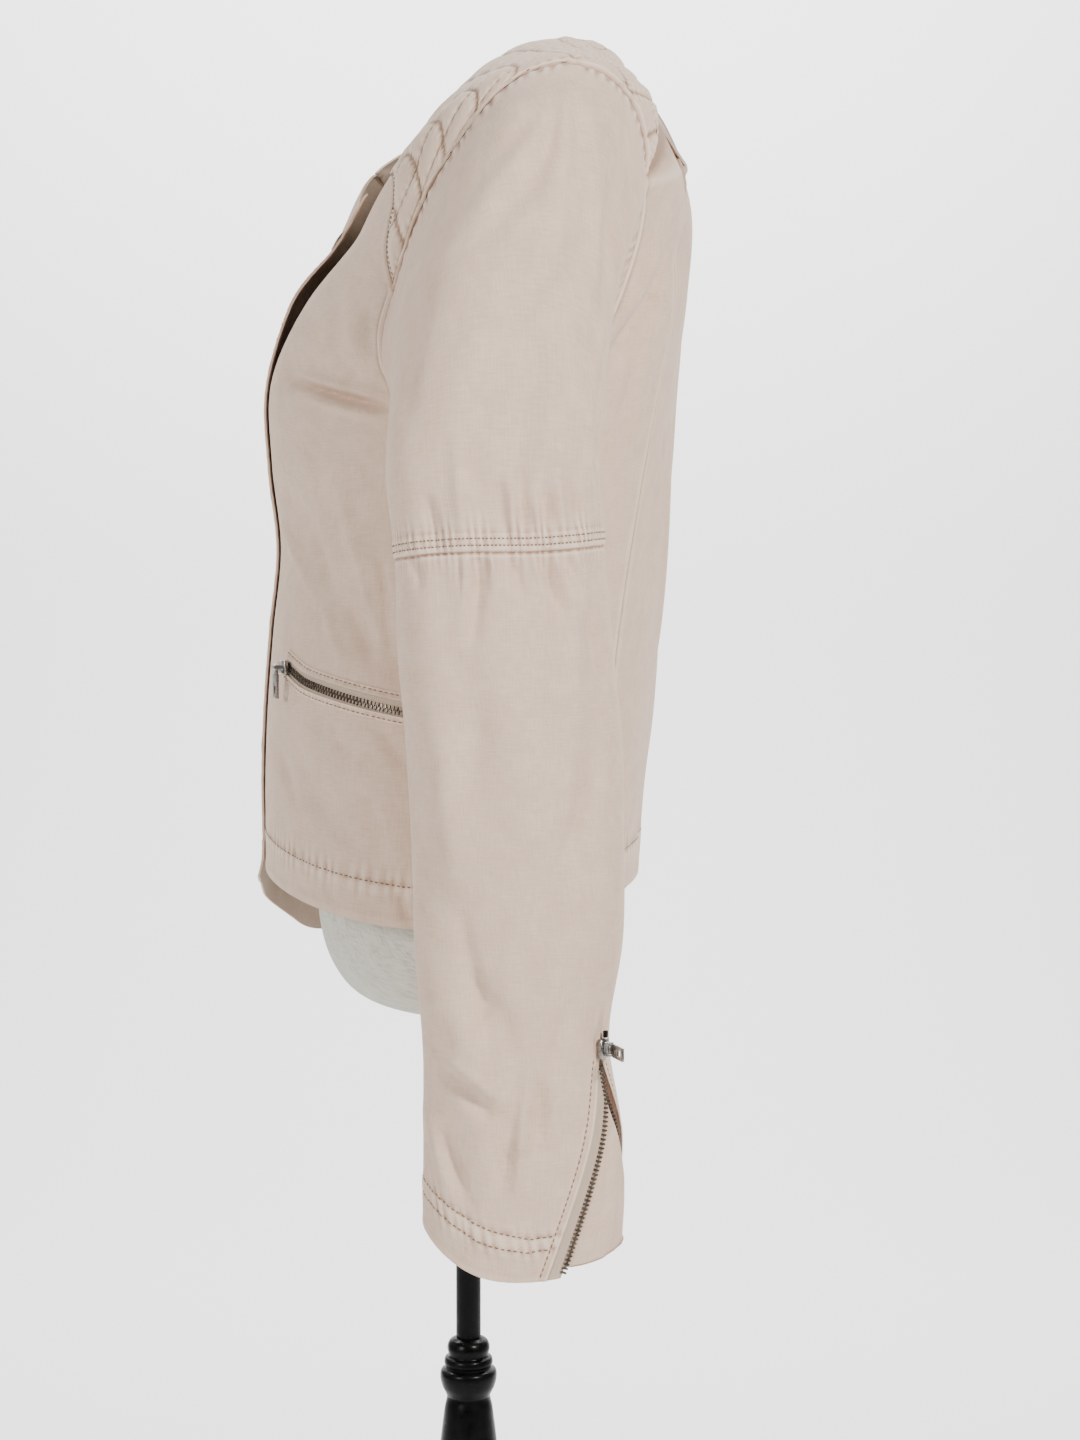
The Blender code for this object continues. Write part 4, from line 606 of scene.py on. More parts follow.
# A crease runs through three places in the side view, in millimetres, at the front, the
# middle and the end. Its half width and depth are in millimetres too, and a depth below 0
# is a ridge.
Crease = namedtuple("Crease", "y0 z0 y1 z1 y2 z2 width depth")
BODY_CREASES = tuple(Crease(*row) for row in (
    (-95, 1190, -68, 1179, -39, 1171, 2.6, 3.0), (-88, 1183, -64, 1173, -39, 1166, 3.6, -1.2),
    (-91, 1194, -70, 1185, -41, 1178, 3.6, -1.0), (-62, 1231, -57, 1214, -53, 1201, 4.7, -1.0),
    (-48, 1227, -46, 1210, -43, 1197, 4.2, 1.1), (-70, 1216, -66, 1204, -58, 1191, 4.7, 0.8),
    (-90, 1125, -81, 1103, -72, 1081, 4.2, 1.5), (-102, 1115, -90, 1092, -77, 1070, 3.6, -0.9),
    (-61, 1134, -57, 1102, -48, 1070, 5.2, -1.0), (-63, 1071, -56, 1057, -45, 1037, 4.2, 1.7),
    (-74, 1070, -69, 1054, -62, 1038, 3.6, -0.8), (-53, 1081, -47, 1065, -41, 1049, 3.6, -0.9),
    (-40, 1091, -38, 1070, -37, 1044, 3.6, 1.2), (-66, 998, -62, 993, -57, 988, 5.2, 0.9),
    (-103, 990, -97, 977, -89, 962, 4.7, 1.0), (-43, 1004, -35, 994, -26, 981, 4.7, 1.1),
    (-86, 962, -74, 948, -60, 938, 6.2, -0.7), (-52, 970, -44, 949, -38, 929, 6.2, 0.7),
    (-35, 921, -30, 913, -25, 901, 3.1, 0.9), (-71, 928, -69, 919, -67, 911, 2.6, 0.6),
    (115, 1270, 107, 1231, 83, 1198, 7.0, 4.2), (105, 1269, 99, 1247, 88, 1222, 5.0, -2.2),
    (103, 1217, 97, 1179, 90, 1151, 5.2, -0.9), (97, 1210, 91, 1183, 84, 1166, 4.2, 0.9),
    (112, 1165, 107, 1115, 103, 1070, 5.2, 0.8), (99, 1283, 102, 1276, 105, 1270, 2.6, 0.9),
    (-6, 1120, -4, 1090, 0, 1055, 9.0, 1.6), (14, 1128, 22, 1085, 26, 1040, 10.0, -1.4),
    (38, 1130, 44, 1082, 47, 1020, 8.0, 1.5), (62, 1140, 70, 1100, 74, 1046, 7.0, -1.1),
    (10, 1000, 20, 960, 24, 915, 10.0, 1.2), (50, 1010, 54, 970, 60, 920, 9.0, -1.0),
    (-14, 1050, -12, 1010, -16, 960, 8.0, -0.9),
))
# On the centre back a crease's places are from the middle line and up, front left to right.
BACK_CREASES = tuple(Crease(*row) for row in (
    (-62, 1262, -48, 1248, -36, 1226, 5.0, 1.6), (58, 1268, 42, 1250, 34, 1222, 5.5, 1.5),
    (-30, 1210, -22, 1150, -26, 1090, 9.0, 1.4), (14, 1190, 20, 1130, 16, 1060, 10.0, 1.6),
    (-4, 1220, -2, 1160, -6, 1100, 8.0, -1.1), (-58, 1150, -50, 1090, -54, 1020, 9.0, -1.2),
    (52, 1160, 46, 1100, 50, 1040, 8.0, -1.2), (-36, 1060, -30, 1010, -34, 950, 10.0, 1.3),
    (30, 1050, 34, 990, 30, 930, 11.0, 1.2), (2, 1040, 0, 980, 4, 920, 9.0, -1.0),
    (-18, 1310, -4, 1302, 16, 1308, 6.0, 1.0),
))
# On the sleeve, where the side view shows it.
SLEEVE_CREASES = tuple(Crease(*row) for row in (
    (61, 1316, 63, 1296, 60, 1271, 4.7, 1.1), (53, 1305, 34, 1270, 9, 1242, 7.8, 1.5),
    (43, 1313, 23, 1289, -3, 1258, 5.7, 0.8), (51, 1318, 49, 1304, 45, 1289, 3.6, 0.7),
    (71, 1286, 71, 1252, 70, 1218, 3.6, -1.3), (78, 1283, 78, 1250, 75, 1217, 4.7, 1.6),
    (68, 1260, 53, 1221, 33, 1196, 8.3, 1.2), (23, 1216, 9, 1187, 0, 1153, 9.4, -1.0),
    (43, 1201, 36, 1167, 33, 1133, 8.3, 1.1), (-16, 1216, -22, 1187, -23, 1158, 7.3, 1.0),
    (2, 1148, 4, 1123, 5, 1103, 4.2, -0.9), (13, 1133, 15, 1116, 16, 1102, 3.6, 0.8),
    (22, 1129, 23, 1116, 25, 1103, 4.2, 1.2), (29, 1126, 30, 1114, 30, 1103, 2.6, -0.8),
    (33, 1133, 34, 1119, 35, 1104, 3.6, 1.1), (40, 1121, 41, 1113, 42, 1104, 2.6, -0.7),
    (45, 1123, 47, 1113, 48, 1104, 3.1, 1.2), (51, 1133, 52, 1119, 53, 1104, 3.1, -0.7),
    (57, 1129, 59, 1116, 60, 1105, 3.6, 1.1), (67, 1134, 68, 1119, 69, 1106, 3.6, -0.6),
    (-12, 1119, -10, 1109, -8, 1097, 3.1, 0.7), (13, 1091, 12, 1075, 10, 1051, 4.7, 1.7),
    (6, 1091, 6, 1082, 7, 1070, 3.1, -0.8), (3, 1091, 4, 1084, 4, 1075, 2.1, 0.7),
    (19, 1092, 20, 1085, 21, 1075, 2.1, -0.7), (29, 1092, 31, 1082, 35, 1072, 3.1, 1.0),
    (45, 1093, 49, 1077, 56, 1059, 4.2, 1.8), (40, 1093, 43, 1082, 47, 1070, 2.6, -0.8),
    (54, 1094, 58, 1085, 62, 1075, 3.1, 1.0), (64, 1094, 68, 1087, 74, 1077, 3.1, 1.0),
    (59, 1093, 63, 1080, 68, 1065, 2.6, -0.7), (68, 1071, 72, 1048, 76, 1026, 4.7, 1.4),
    (-20, 1094, -18, 1087, -16, 1077, 2.6, 0.8), (14, 1031, 12, 1007, 9, 978, 8.3, 0.9),
    (33, 1022, 35, 983, 31, 944, 10.4, -0.8), (-6, 1007, -3, 973, 0, 934, 7.3, -0.8),
    (67, 1002, 65, 968, 66, 933, 6.8, 0.9), (53, 944, 43, 910, 33, 876, 7.8, 0.9),
    (5, 883, 22, 866, 29, 851, 5.7, 1.4), (-6, 874, 9, 850, 20, 836, 6.2, -1.0),
    (-1, 843, 11, 835, 23, 825, 3.6, -1.4), (-3, 836, 8, 827, 19, 816, 4.2, 1.4),
    (34, 825, 33, 802, 33, 778, 3.6, -1.3), (43, 831, 42, 817, 41, 802, 4.7, 1.5),
    (26, 817, 25, 797, 23, 780, 4.2, 0.9), (62, 806, 44, 797, 24, 793, 5.0, 0.7),
    (-6, 804, -1, 790, 5, 776, 3.6, 1.4), (-12, 813, -8, 799, -4, 784, 3.1, -0.8),
    (60, 875, 53, 856, 47, 841, 5.2, 0.9), (9, 757, 23, 750, 40, 747, 4.2, -0.6),
    (-4, 915, 20, 926, 42, 947, 5.0, 1.0), (3, 912, 13, 871, 18, 846, 4.4, 1.0),
    (31, 838, 31, 816, 28, 795, 3.0, 1.0), (70, 985, 60, 958, 47, 930, 5.0, 0.8),
))
# On the sleeve's inner side, which faces the body.
INNER_SLEEVE_CREASES = tuple(Crease(*row) for row in (
    (30, 1120, 32, 1108, 34, 1100, 3.6, 1.0), (12, 1124, 13, 1112, 14, 1100, 4.0, 1.1),
    (52, 1122, 50, 1110, 49, 1101, 3.4, 0.9), (20, 1090, 24, 1070, 30, 1046, 5.0, 1.5),
    (44, 1091, 40, 1076, 34, 1058, 4.2, -1.1), (2, 1089, 0, 1074, -6, 1060, 4.0, 1.2),
    (60, 1088, 58, 1062, 52, 1030, 6.0, 1.2), (26, 1010, 30, 970, 28, 920, 9.0, 1.1),
    (54, 980, 50, 930, 52, 880, 8.0, -0.9), (6, 960, 8, 910, 14, 860, 8.5, -1.0),
    (44, 860, 30, 842, 16, 836, 6.0, 1.3), (50, 836, 34, 820, 20, 812, 5.5, -1.1),
    (30, 800, 26, 782, 24, 764, 4.6, 1.2),
))

BODY_CREASE_DEPTH = 2.3
SLEEVE_CREASE_DEPTH = 3.0


def crease_line(crease):
    """Nine places on the smooth bend through a crease's three."""
    ends = np.array(crease[:6]).reshape(3, 2) * MM
    share = np.linspace(0, 1, 9)[:, None]
    pull = 2 * ends[1] - (ends[0] + ends[2]) / 2
    return (1 - share) ** 2 * ends[0] + 2 * share * (1 - share) * pull + share**2 * ends[2]


def creased(points, lines):
    """How far creases push cloth out, from their lines in space, half widths and depths."""
    flat = points.reshape(-1, points.shape[-1])
    out = np.zeros(len(flat))
    for line, width, depth in lines:
        reach = 3 * width
        near = np.all((flat > line.min(0) - reach) & (flat < line.max(0) + reach), axis=1)
        if not near.any():
            continue
        places = flat[near]
        best = np.full(len(places), 1.0)
        share = np.zeros(len(places))
        spans = len(line) - 1
        for number in range(spans):
            run = line[number + 1] - line[number]
            along = np.clip((places - line[number]) @ run / max(run @ run, 1e-12), 0, 1)
            away = np.linalg.norm(places - line[number] - along[:, None] * run, axis=1)
            closer = away < best
            best = np.where(closer, away, best)
            share = np.where(closer, (number + along) / spans, share)
        fade = 0.35 + 0.65 * np.sin(math.pi * np.clip(share, 0.0, 1.0)) ** 0.7
        out[near] -= depth * fade * np.exp(-((best / width) ** 2))
    return out.reshape(points.shape[:-1])


def body_lines():
    """The body's creases in space, on both sides, a little apart from each other's image."""
    lines = []
    for crease in BODY_CREASES:
        places = [side_place(Stitch(y, z)) for y, z in crease_line(crease)]
        line = np.array([ring_surface(BODY_RINGS, angle, level) for angle, level in places])
        depth = BODY_CREASE_DEPTH * crease.depth * MM
        lines.append((line, crease.width * MM, depth))
        other = line * (-1, 1, 1) + (0, 3 * MM, -7 * MM)
        lines.append((other, crease.width * 1.12 * MM, depth * 0.9))
    levels = np.linspace(HEM, NECK, 240)
    for crease in BACK_CREASES:
        line = []
        for x, z in crease_line(crease):
            angles = np.array([angle_from_middle(abs(x), level, 1) for level in levels])
            places = ring_surface(BODY_RINGS, angles, levels)
            place = places[np.argmin(np.abs(places[:, 2] - z))]
            line.append(place * (math.copysign(1, x), 1, 1))
        lines.append((np.array(line), crease.width * MM, BODY_CREASE_DEPTH * crease.depth * MM))
    return lines


BODY_LINES = body_lines()


def uneven_wave(length, pitch, shift=0.0):
    """Puckers along a seam, none quite like the next, from -1 to 1."""
    bend = 1.1 * np.sin(2 * math.pi * length / (pitch * 6.3) + shift)
    bend = bend + 0.8 * np.sin(2 * math.pi * length / (pitch * 2.7) + 1.7 + 2 * shift)
    height = 0.72 + 0.28 * np.sin(2 * math.pi * length / (pitch * 4.1) + 0.6 + shift)
    return height * np.sin(2 * math.pi * length / pitch + bend)


def close_to(length, middle, width):
    return np.exp(-(((length - middle) / width) ** 2))


def armhole_rib(length):
    """The turnings lie under the body's edge of the armhole and lift it in a narrow rib."""
    rib = 1.7 * MM * close_to(length, 2.1 * MM, 1.3 * MM)
    return rib - 0.6 * MM * close_to(length, 0, 0.6 * MM)


def seam_dip(length):
    """The cloth turns down into a seam at length 0."""
    return -0.7 * MM * np.exp(-((np.maximum(length, 0) / (1.3 * MM)) ** 2))


def seam_shade(*lengths):
    """Painted shade beside each of some seams, where the cloth turns down into the seam's gap."""
    return sum(close_to(length, 0, 0.9 * MM) for length in lengths)


def at_armhole_rows(points, fine, last=math.inf):
    """1 in the rows beside the armhole, which start above the side seam."""
    rows = np.arange(len(points))[:, None]
    beside = smooth_step(SIDE_ROWS * fine, (SIDE_ROWS + 1) * fine, rows)
    if last < math.inf:
        beside = beside * smooth_step((last + 0.2) * fine, (last - 0.2) * fine, rows)
    return beside


# ---------------------------------------------------------------- body panels


def fold_depth(angle, level):
    """How far the broad folds push the body's cloth out, the same on both sides."""
    left_angle = np.where(np.cos(angle) < 0, math.pi * np.sign(angle) - angle, angle)
    on_flat = np.array([FOLD_RADIUS, FOLD_ROW])
    flat = np.stack([left_angle, level], axis=-1) * on_flat
    out = np.zeros(np.shape(left_angle))
    for fold in BODY_FOLDS:
        start = side_place(Stitch(fold.from_y, fold.from_z)) * on_flat
        run = side_place(Stitch(fold.to_y, fold.to_z)) * on_flat - start
        along = ((flat - start) @ run) / (run @ run)
        beside = np.linalg.norm(flat - start - np.clip(along, 0, 1)[..., None] * run, axis=-1)
        out -= fold.depth * np.exp(-((beside / fold.half_width) ** 2))
    return out


def body_cloth(places):
    """Places and outward normals of the cloth at an array of angles and levels."""
    angle = places[..., 0]
    level = places[..., 1]
    normals = ring_normal(BODY_RINGS, angle, level)
    points = ring_surface(BODY_RINGS, angle, level)
    out = fold_depth(angle, level) + creased(points, BODY_LINES)
    return points + normals * out[..., None], normals


def hem_level(angle):
    """The hem's level, which falls towards the wearer's right."""
    in_front = smooth_step(-0.35, 0.60, -np.cos(angle))
    behind = smooth_step(0.0, 0.90, -np.cos(angle))
    rightward = np.where(np.sin(angle) < 0, in_front, behind)
    return HEM - RIGHT_HEM_DROP * rightward


def drop_hem(places):
    """Stretches the lowest rows down to the hem's level."""
    dropped = places.copy()
    share = np.clip((HEM + 2.0 - places[..., 1]) / 2.0, 0, 1)
    dropped[..., 1] += share * (hem_level(places[..., 0]) - HEM)
    return dropped


def mirrored_places(places):
    """Angles and levels of the same places on the wearer's right."""
    angle = places[..., 0]
    other = np.where(angle < 0, -math.pi - angle, math.pi - angle)
    return np.stack([other, places[..., 1]], axis=-1)[:, ::-1]


def right_side_shift(points, normals):
    """How the unfastened right side stands off and above the left one's shape."""
    x, y, z = np.moveaxis(points, -1, 0)
    in_front = smooth_step(0.040, -0.010, y)
    over = smooth_step(-0.080, -0.030, x) * in_front
    neck = smooth_step(1.190, 1.270, z)
    bulge = np.exp(-(((x + 0.028) / 0.042) ** 2) - ((z - 1.248) / 0.036) ** 2)
    lapped = over * smooth_step(1.345, 1.300, z)
    lift = lapped * LAYER + over * LIFT_AT_NECK * neck + BULGE_AT_CHEST * bulge
    beside_edge = smooth_step(0.016, -0.034, x) * smooth_step(-0.100, -0.045, x) * in_front
    rise = RISE_AT_NECK * smooth_step(1.255, 1.300, z) * beside_edge
    lift = lift + FLARE_AT_HEM * smooth_step(0.925, 0.885, z) * over
    upward = np.array([0.0, -0.3, 1.0])
    return normals * lift[..., None] + upward * rise[..., None]


def right_front_cloth(places):
    points, normals = body_cloth(places)
    return points + right_side_shift(points, normals), normals


def edge_lengths(points):
    """Each place's distance from the grid's left, right, bottom and top edges."""
    along = arc_lengths(points, 1)
    up = arc_lengths(points, 0)
    return along, along[:, -1:] - along, up, up[-1:] - up


HEM_ROW = 22 * MM
EDGE_ROWS = (4 * MM, 10 * MM)  # of stitches beside a front's free edge


def hem_puckers(bottom, along, shift):
    """The hem's turned layer: a little thicker, and puckered at its row of stitches."""
    fold = 0.35 * MM * smooth_step(HEM_ROW + 1.5 * MM, HEM_ROW - 1 * MM, bottom)
    pucker = 0.35 * MM * uneven_wave(along, 7 * MM, shift) * close_to(bottom, HEM_ROW, 7 * MM)
    row = -0.35 * MM * close_to(bottom, HEM_ROW, 0.9 * MM)
    lip = 0.25 * MM * close_to(bottom, 1.2 * MM, 1.6 * MM)
    return fold + pucker + row + lip


def front_places():
    """The left front's grid, from its free edge to the side and from hem to neck."""
    armhole = armhole_line(UNDERARM_POINT, FRONT_YOKE_POINT, ARMHOLE_ROWS * FINE)
    yoke = front_yoke_seam(ARMHOLE_ROWS * FINE)[::-1]
    right = np.concatenate([side_seam(SIDE_ROWS * FINE), armhole[1:], yoke[1:]])
    stations = (HEM, UNDERARM[1] - 0.1, 8.6, NECK)
    turns = (0, SIDE_ROWS * FINE, (SIDE_ROWS + ARMHOLE_ROWS) * FINE, len(right) - 1)
    levels = np.interp(np.arange(len(right)), turns, stations)
    left = np.stack([angle_from_middle(-OVERLAP_REACH, levels, -1), levels], axis=1)
    columns = FRONT_COLUMNS * FINE + 1
    bottom = straight(left[0], right[0], columns)
    return patch(bottom, straight(left[-1], right[-1], columns), left, right)


def front_out(points, free, sewn, shift):
    """The sewing's low shapes on a front; free and sewn are lengths from its two sides."""
    bottom = arc_lengths(points, 0)
    at_armhole = at_armhole_rows(points, FINE, SIDE_ROWS + ARMHOLE_ROWS)
    out = hem_puckers(bottom, free, shift) + seam_dip(bottom[-1:] - bottom)
    out = out + armhole_rib(sewn) * at_armhole + seam_dip(sewn) * (1 - at_armhole)
    out = out + 0.3 * MM * smooth_step(26 * MM, 22 * MM, free)
    out = out - 0.3 * MM * sum(close_to(free, length, 0.8 * MM) for length in EDGE_ROWS)
    ruck = 0.22 * MM * uneven_wave(bottom, 9 * MM, shift + 2) * close_to(free, 7 * MM, 8 * MM)
    return out + ruck


def sewn_fronts():
    places = front_places()
    points, normals = body_cloth(places)
    free, sewn, _, _ = edge_lengths(points)
    left = laid(points, normals, front_out(points, free, sewn, 0.0))
    points, normals = right_front_cloth(drop_hem(mirrored_places(places)))
    sewn, free, _, _ = edge_lengths(points)
    return left, laid(points, normals, front_out(points, free, sewn, 1.3))


def back_centre_places():
    left_seam = back_seam(BACK_ROWS * BACK_FINE)
    right_seam = mirrored_places(left_seam[:, None])[:, 0]
    yoke = back_yoke_seam(YOKE_COLUMNS * BACK_FINE)[: YOKE_TO_BACK_CENTRE * BACK_FINE + 1]
    ends = (yoke[0, 0], math.pi - yoke[0, 0])
    neck = np.linspace(*ends, NECK_COLUMNS * BACK_FINE * 2 + 1)[1:-1]
    neck = np.stack([neck, np.full(len(neck), NECK)], axis=1)
    right_yoke = mirrored_places(yoke[:, None])[:, 0]
    top = np.concatenate([yoke[::-1], neck, right_yoke])
    return patch(straight(left_seam[0], right_seam[0], len(top)), top, left_seam, right_seam)


def sewn_back():
    points, normals = body_cloth(drop_hem(back_centre_places()))
    left, right, bottom, top = edge_lengths(points)
    out = hem_puckers(bottom, left, 2.1) + seam_dip(left) + seam_dip(right) + seam_dip(top)
    return laid(points, normals, out)


def side_back_places():
    fine = SIDE_BACK_FINE
    rows = (UNDERARM_POINT - BACK_YOKE_POINT) * fine
    armhole = armhole_line(BACK_YOKE_POINT, UNDERARM_POINT, rows)[::-1]
    left = np.concatenate([side_seam(SIDE_ROWS * fine), armhole[1:]])
    right = back_seam(BACK_ROWS * fine)
    top = back_yoke_seam(YOKE_COLUMNS * fine)[YOKE_TO_BACK_CENTRE * fine :][::-1]
    return patch(straight(left[0], right[0], len(top)), top, left, right)


def sewn_side_backs():
    places = side_back_places()
    panels = []
    for side in (places, drop_hem(mirrored_places(places))):
        points, normals = body_cloth(side)
        left, right, bottom, top = edge_lengths(points)
        at_armhole = at_armhole_rows(points, SIDE_BACK_FINE)
        armhole, seam = (left, right) if side is places else (right, left)
        out = hem_puckers(bottom, left, 0.7) + seam_dip(seam) + seam_dip(top)
        out = out + 0.6 * armhole_rib(armhole) * at_armhole + seam_dip(armhole) * (1 - at_armhole)
        # Painted shade beside the back seam and the yoke's seam.
        panels.append(laid(points, normals, out, 1.2 * seam_shade(seam, top)))
    return panels


# ---------------------------------------------------------------- quilted yokes


def yoke_places():
    """From the neckline to the armhole, and from the front seam to the back one."""
    end = ARMHOLE_POINTS + BACK_YOKE_POINT
    right = armhole_line(FRONT_YOKE_POINT, end, YOKE_ARMHOLE_ROWS * FINE)
    bottom = front_yoke_seam(YOKE_COLUMNS * FINE)
    top = back_yoke_seam(YOKE_COLUMNS * FINE)
    neck = np.linspace(bottom[0, 0], top[0, 0], len(right))
    return patch(bottom, top, np.stack([neck, np.full(len(neck), NECK)], axis=1), right)


def quilt_fields(points):
    """How many rows of each family of stitching lie before each place."""
    along = arc_lengths(points, 0).mean(axis=1, keepdims=True) + 0 * points[..., 0]
    across = arc_lengths(points, 1)
    fields = []
    for slant in QUILT_SLANTS:
        turn = math.radians(slant)
        fields.append((along * math.cos(turn) - across * math.sin(turn)) / DIAMOND)
    return fields


def quilt_out(points):
    """Puffs between the diagonal rows of stitching, puckered beside each row."""
    fields = quilt_fields(points)
    puff = np.prod([np.sin(math.pi * field) ** 2 for field in fields], axis=0) ** 0.28
    out = 1.9 * MM * puff
    for field, run in (fields, fields[::-1]):
        away = np.abs(field - np.round(field)) * DIAMOND
        pucker = uneven_wave(run * DIAMOND, 5.2 * MM, 0.4) * close_to(away, 1.8 * MM, 2.6 * MM)
        out = out - 0.6 * MM * close_to(away, 0, 0.9 * MM) + 0.34 * MM * pucker
    return out


def quilt_shade(points):
    """Painted shade along the rows of quilting, most where two of them cross."""
    first, second = (np.abs(f - np.round(f)) * DIAMOND for f in quilt_fields(points))
    crossing = np.exp(-((first**2 + second**2) / (4.5 * MM) ** 2))
    return 0.55 * seam_shade(first, second) + 0.6 * crossing


YOKE_ROWS = (1.6 * MM, 3.8 * MM)


def yoke_relief(points):
    """How far a yoke's cloth stands out, and the painted shade at its seams and rows of quilting,
    less a painted highlight on its armhole's rib.
    """
    neck, armhole, front, back = edge_lengths(points)
    room = 1 - np.exp(-(np.minimum(front, back) / (4 * MM)) ** 2)
    room = room * (1 - np.exp(-((armhole / (2.5 * MM)) ** 2)))
    raised = quilt_out(points) * room * (1 - 0.8 * np.exp(-((neck / (4 * MM)) ** 2)))
    raised = raised - 0.3 * MM * sum(close_to(front, length, 0.7 * MM) for length in YOKE_ROWS)
    raised = raised + armhole_rib(armhole) + seam_dip(front) + seam_dip(back)
    raised = raised + 0.35 * MM * uneven_wave(neck, 6 * MM, 1.0) * close_to(back, 5 * MM, 6 * MM)
    shade = 1.2 * seam_shade(front, back) + quilt_shade(points)
    # Less shade on the armhole's rib: a painted highlight where the rib catches the light.
    return raised, shade - 0.9 * close_to(armhole, 2.1 * MM, 1.2 * MM)


def sewn_yokes():
    places = yoke_places()
    points, normals = body_cloth(places)
    raised, shade = yoke_relief(points)
    left = laid(points, normals, raised, shade)
    points, normals = right_front_cloth(mirrored_places(places))
    return left, laid(points, normals, raised[:, ::-1], shade[:, ::-1])


# ---------------------------------------------------------------- sleeves


def sleeve_ring(turn, level):
    """A place on the left sleeve; turn 0 is its outer side and 90 degrees its back."""
    z, inner_x, outer_x, front_y, back_y, front_rise, back_rise, square = table_columns(
        SLEEVE_RINGS, level
    )
    side = np.sin(turn)
    reach = signed_power(np.cos(turn), 2 / square)
    x = (inner_x + outer_x) / 2 + (outer_x - inner_x) / 2 * reach
    y = (front_y + back_y) / 2 + (back_y - front_y) / 2 * signed_power(side, 2 / square)
    rise = np.where(side < 0, front_rise, back_rise) * side**2
    return np.stack([x, y, z + rise], axis=-1)


def slit_turns(level, columns):
    """The columns' angles below the slit's top, from its far edge round to its near one."""
    opened = np.clip((level - SLIT_TOP) / (len(SLEEVE_RINGS) - 1 - SLIT_TOP), 0, 1)
    middle = SLIT_COLUMN * 360 / SLEEVE_COLUMNS
    far = middle + opened * (FAR_SLIT_ANGLE - middle)
    near = 360 + middle + opened * (NEAR_SLIT_ANGLE - middle)
    return np.radians(np.linspace(far, near, columns + 1))


# How the sleeve leaves the armhole at each turn from the shoulder round by the back:
# backwards and upwards, for each length outwards.
Leave = namedtuple("Leave", "turn back up")
LEAVES = tuple(Leave(*row) for row in (
    (0, 0.00, -0.33), (45, -0.08, -0.32), (90, -0.12, -0.30), (135, -0.05, -0.42),
    (180, 0.00, -0.56), (225, -0.12, -0.42), (262, 0.02, -0.28), (290, 0.14, -0.30),
    (330, 0.14, -0.33), (360, 0.00, -0.33),
))


def sleeve_grid(rows, columns):
    """The left sleeve at fractional rows of the source's, its columns from the slit on."""
    around = (np.arange(columns + 1) / columns * SLEEVE_COLUMNS + SLIT_COLUMN) % SLEEVE_COLUMNS
    angle, level = read_off(ARMHOLE, around * FINE).T
    normals = ring_normal(BODY_RINGS, angle, level)
    starts = ring_surface(BODY_RINGS, angle, level)
    starts = starts + normals * fold_depth(angle, level)[:, None]
    table = np.array(LEAVES, float)
    back, up = read_off(table[:, 1:], around * 360 / SLEEVE_COLUMNS, table[:, 0]).T
    leave = unit(np.stack([np.ones(columns + 1), back, up], axis=1))
    starts = starts + leave * 0.4 * MM
    ends = sleeve_ring(slit_turns(0.0, columns), 0.0)
    reach = np.linalg.norm(ends - starts, axis=1, keepdims=True)
    leave = leave * reach * 0.85
    arrive = -UP * reach * 1.05
    grid = []
    for row in rows:
        if row < CAP_ROWS:
            part = row / CAP_ROWS
            square = part * part
            cube = square * part
            grid.append(
                (2 * cube - 3 * square + 1) * starts
                + (cube - 2 * square + part) * leave
                + (3 * square - 2 * cube) * ends
                + (cube - square) * arrive
            )
        else:
            level = np.interp(row - CAP_ROWS, np.arange(len(SLEEVE_LEVELS)), SLEEVE_LEVELS)
            grid.append(sleeve_ring(slit_turns(level, columns), level))
    return np.array(grid)


def grid_normals(points):
    """Outward normals of a tube's grid whose last column repeats the first one's direction."""
    along = np.empty_like(points)
    along[:, 1:-1] = points[:, 2:] - points[:, :-2]
    joined = points[:, 1] - points[:, -2]
    along[:, 0] = joined
    along[:, -1] = joined
    opened = np.linalg.norm(points[:, 0] - points[:, -1], axis=1) > 1e-6
    along[opened, 0] = points[opened, 1] - points[opened, 0]
    along[opened, -1] = points[opened, -1] - points[opened, -2]
    down = np.empty_like(points)
    down[1:-1] = points[2:] - points[:-2]
    down[0] = points[1] - points[0]
    down[-1] = points[-1] - points[-2]
    return unit(np.cross(down, along))


def sleeve_folds(rows, columns):
    """The broad folds of the source's sleeve, in degrees round it and rows down it."""
    row_height = 12.0  # degrees of turn that are as long as a row
    turn = 360 / SLEEVE_COLUMNS * SLIT_COLUMN
    angles = np.linspace(turn, turn + 360, columns + 1)[None, :] + 0 * rows[:, None]
    heights = row_height * rows[:, None] + 0 * angles
    out = np.zeros(angles.shape)
    for fold in SLEEVE_FOLDS:
        turned_by = fold.to_angle - fold.from_angle
        run = np.array([turned_by, row_height * (fold.to_row - fold.from_row)])
        for lap in (-360, 0, 360):
            offset = (angles + lap - fold.from_angle, heights - row_height * fold.from_row)
            from_start = np.stack(offset, axis=-1)
            along = np.clip((from_start @ run) / (run @ run), 0, 1)
            beside = np.linalg.norm(from_start - along[..., None] * run, axis=-1)
            out -= fold.depth * np.exp(-((beside / fold.width) ** 2))
    out[rows < 0.5] *= 0.3
    return out


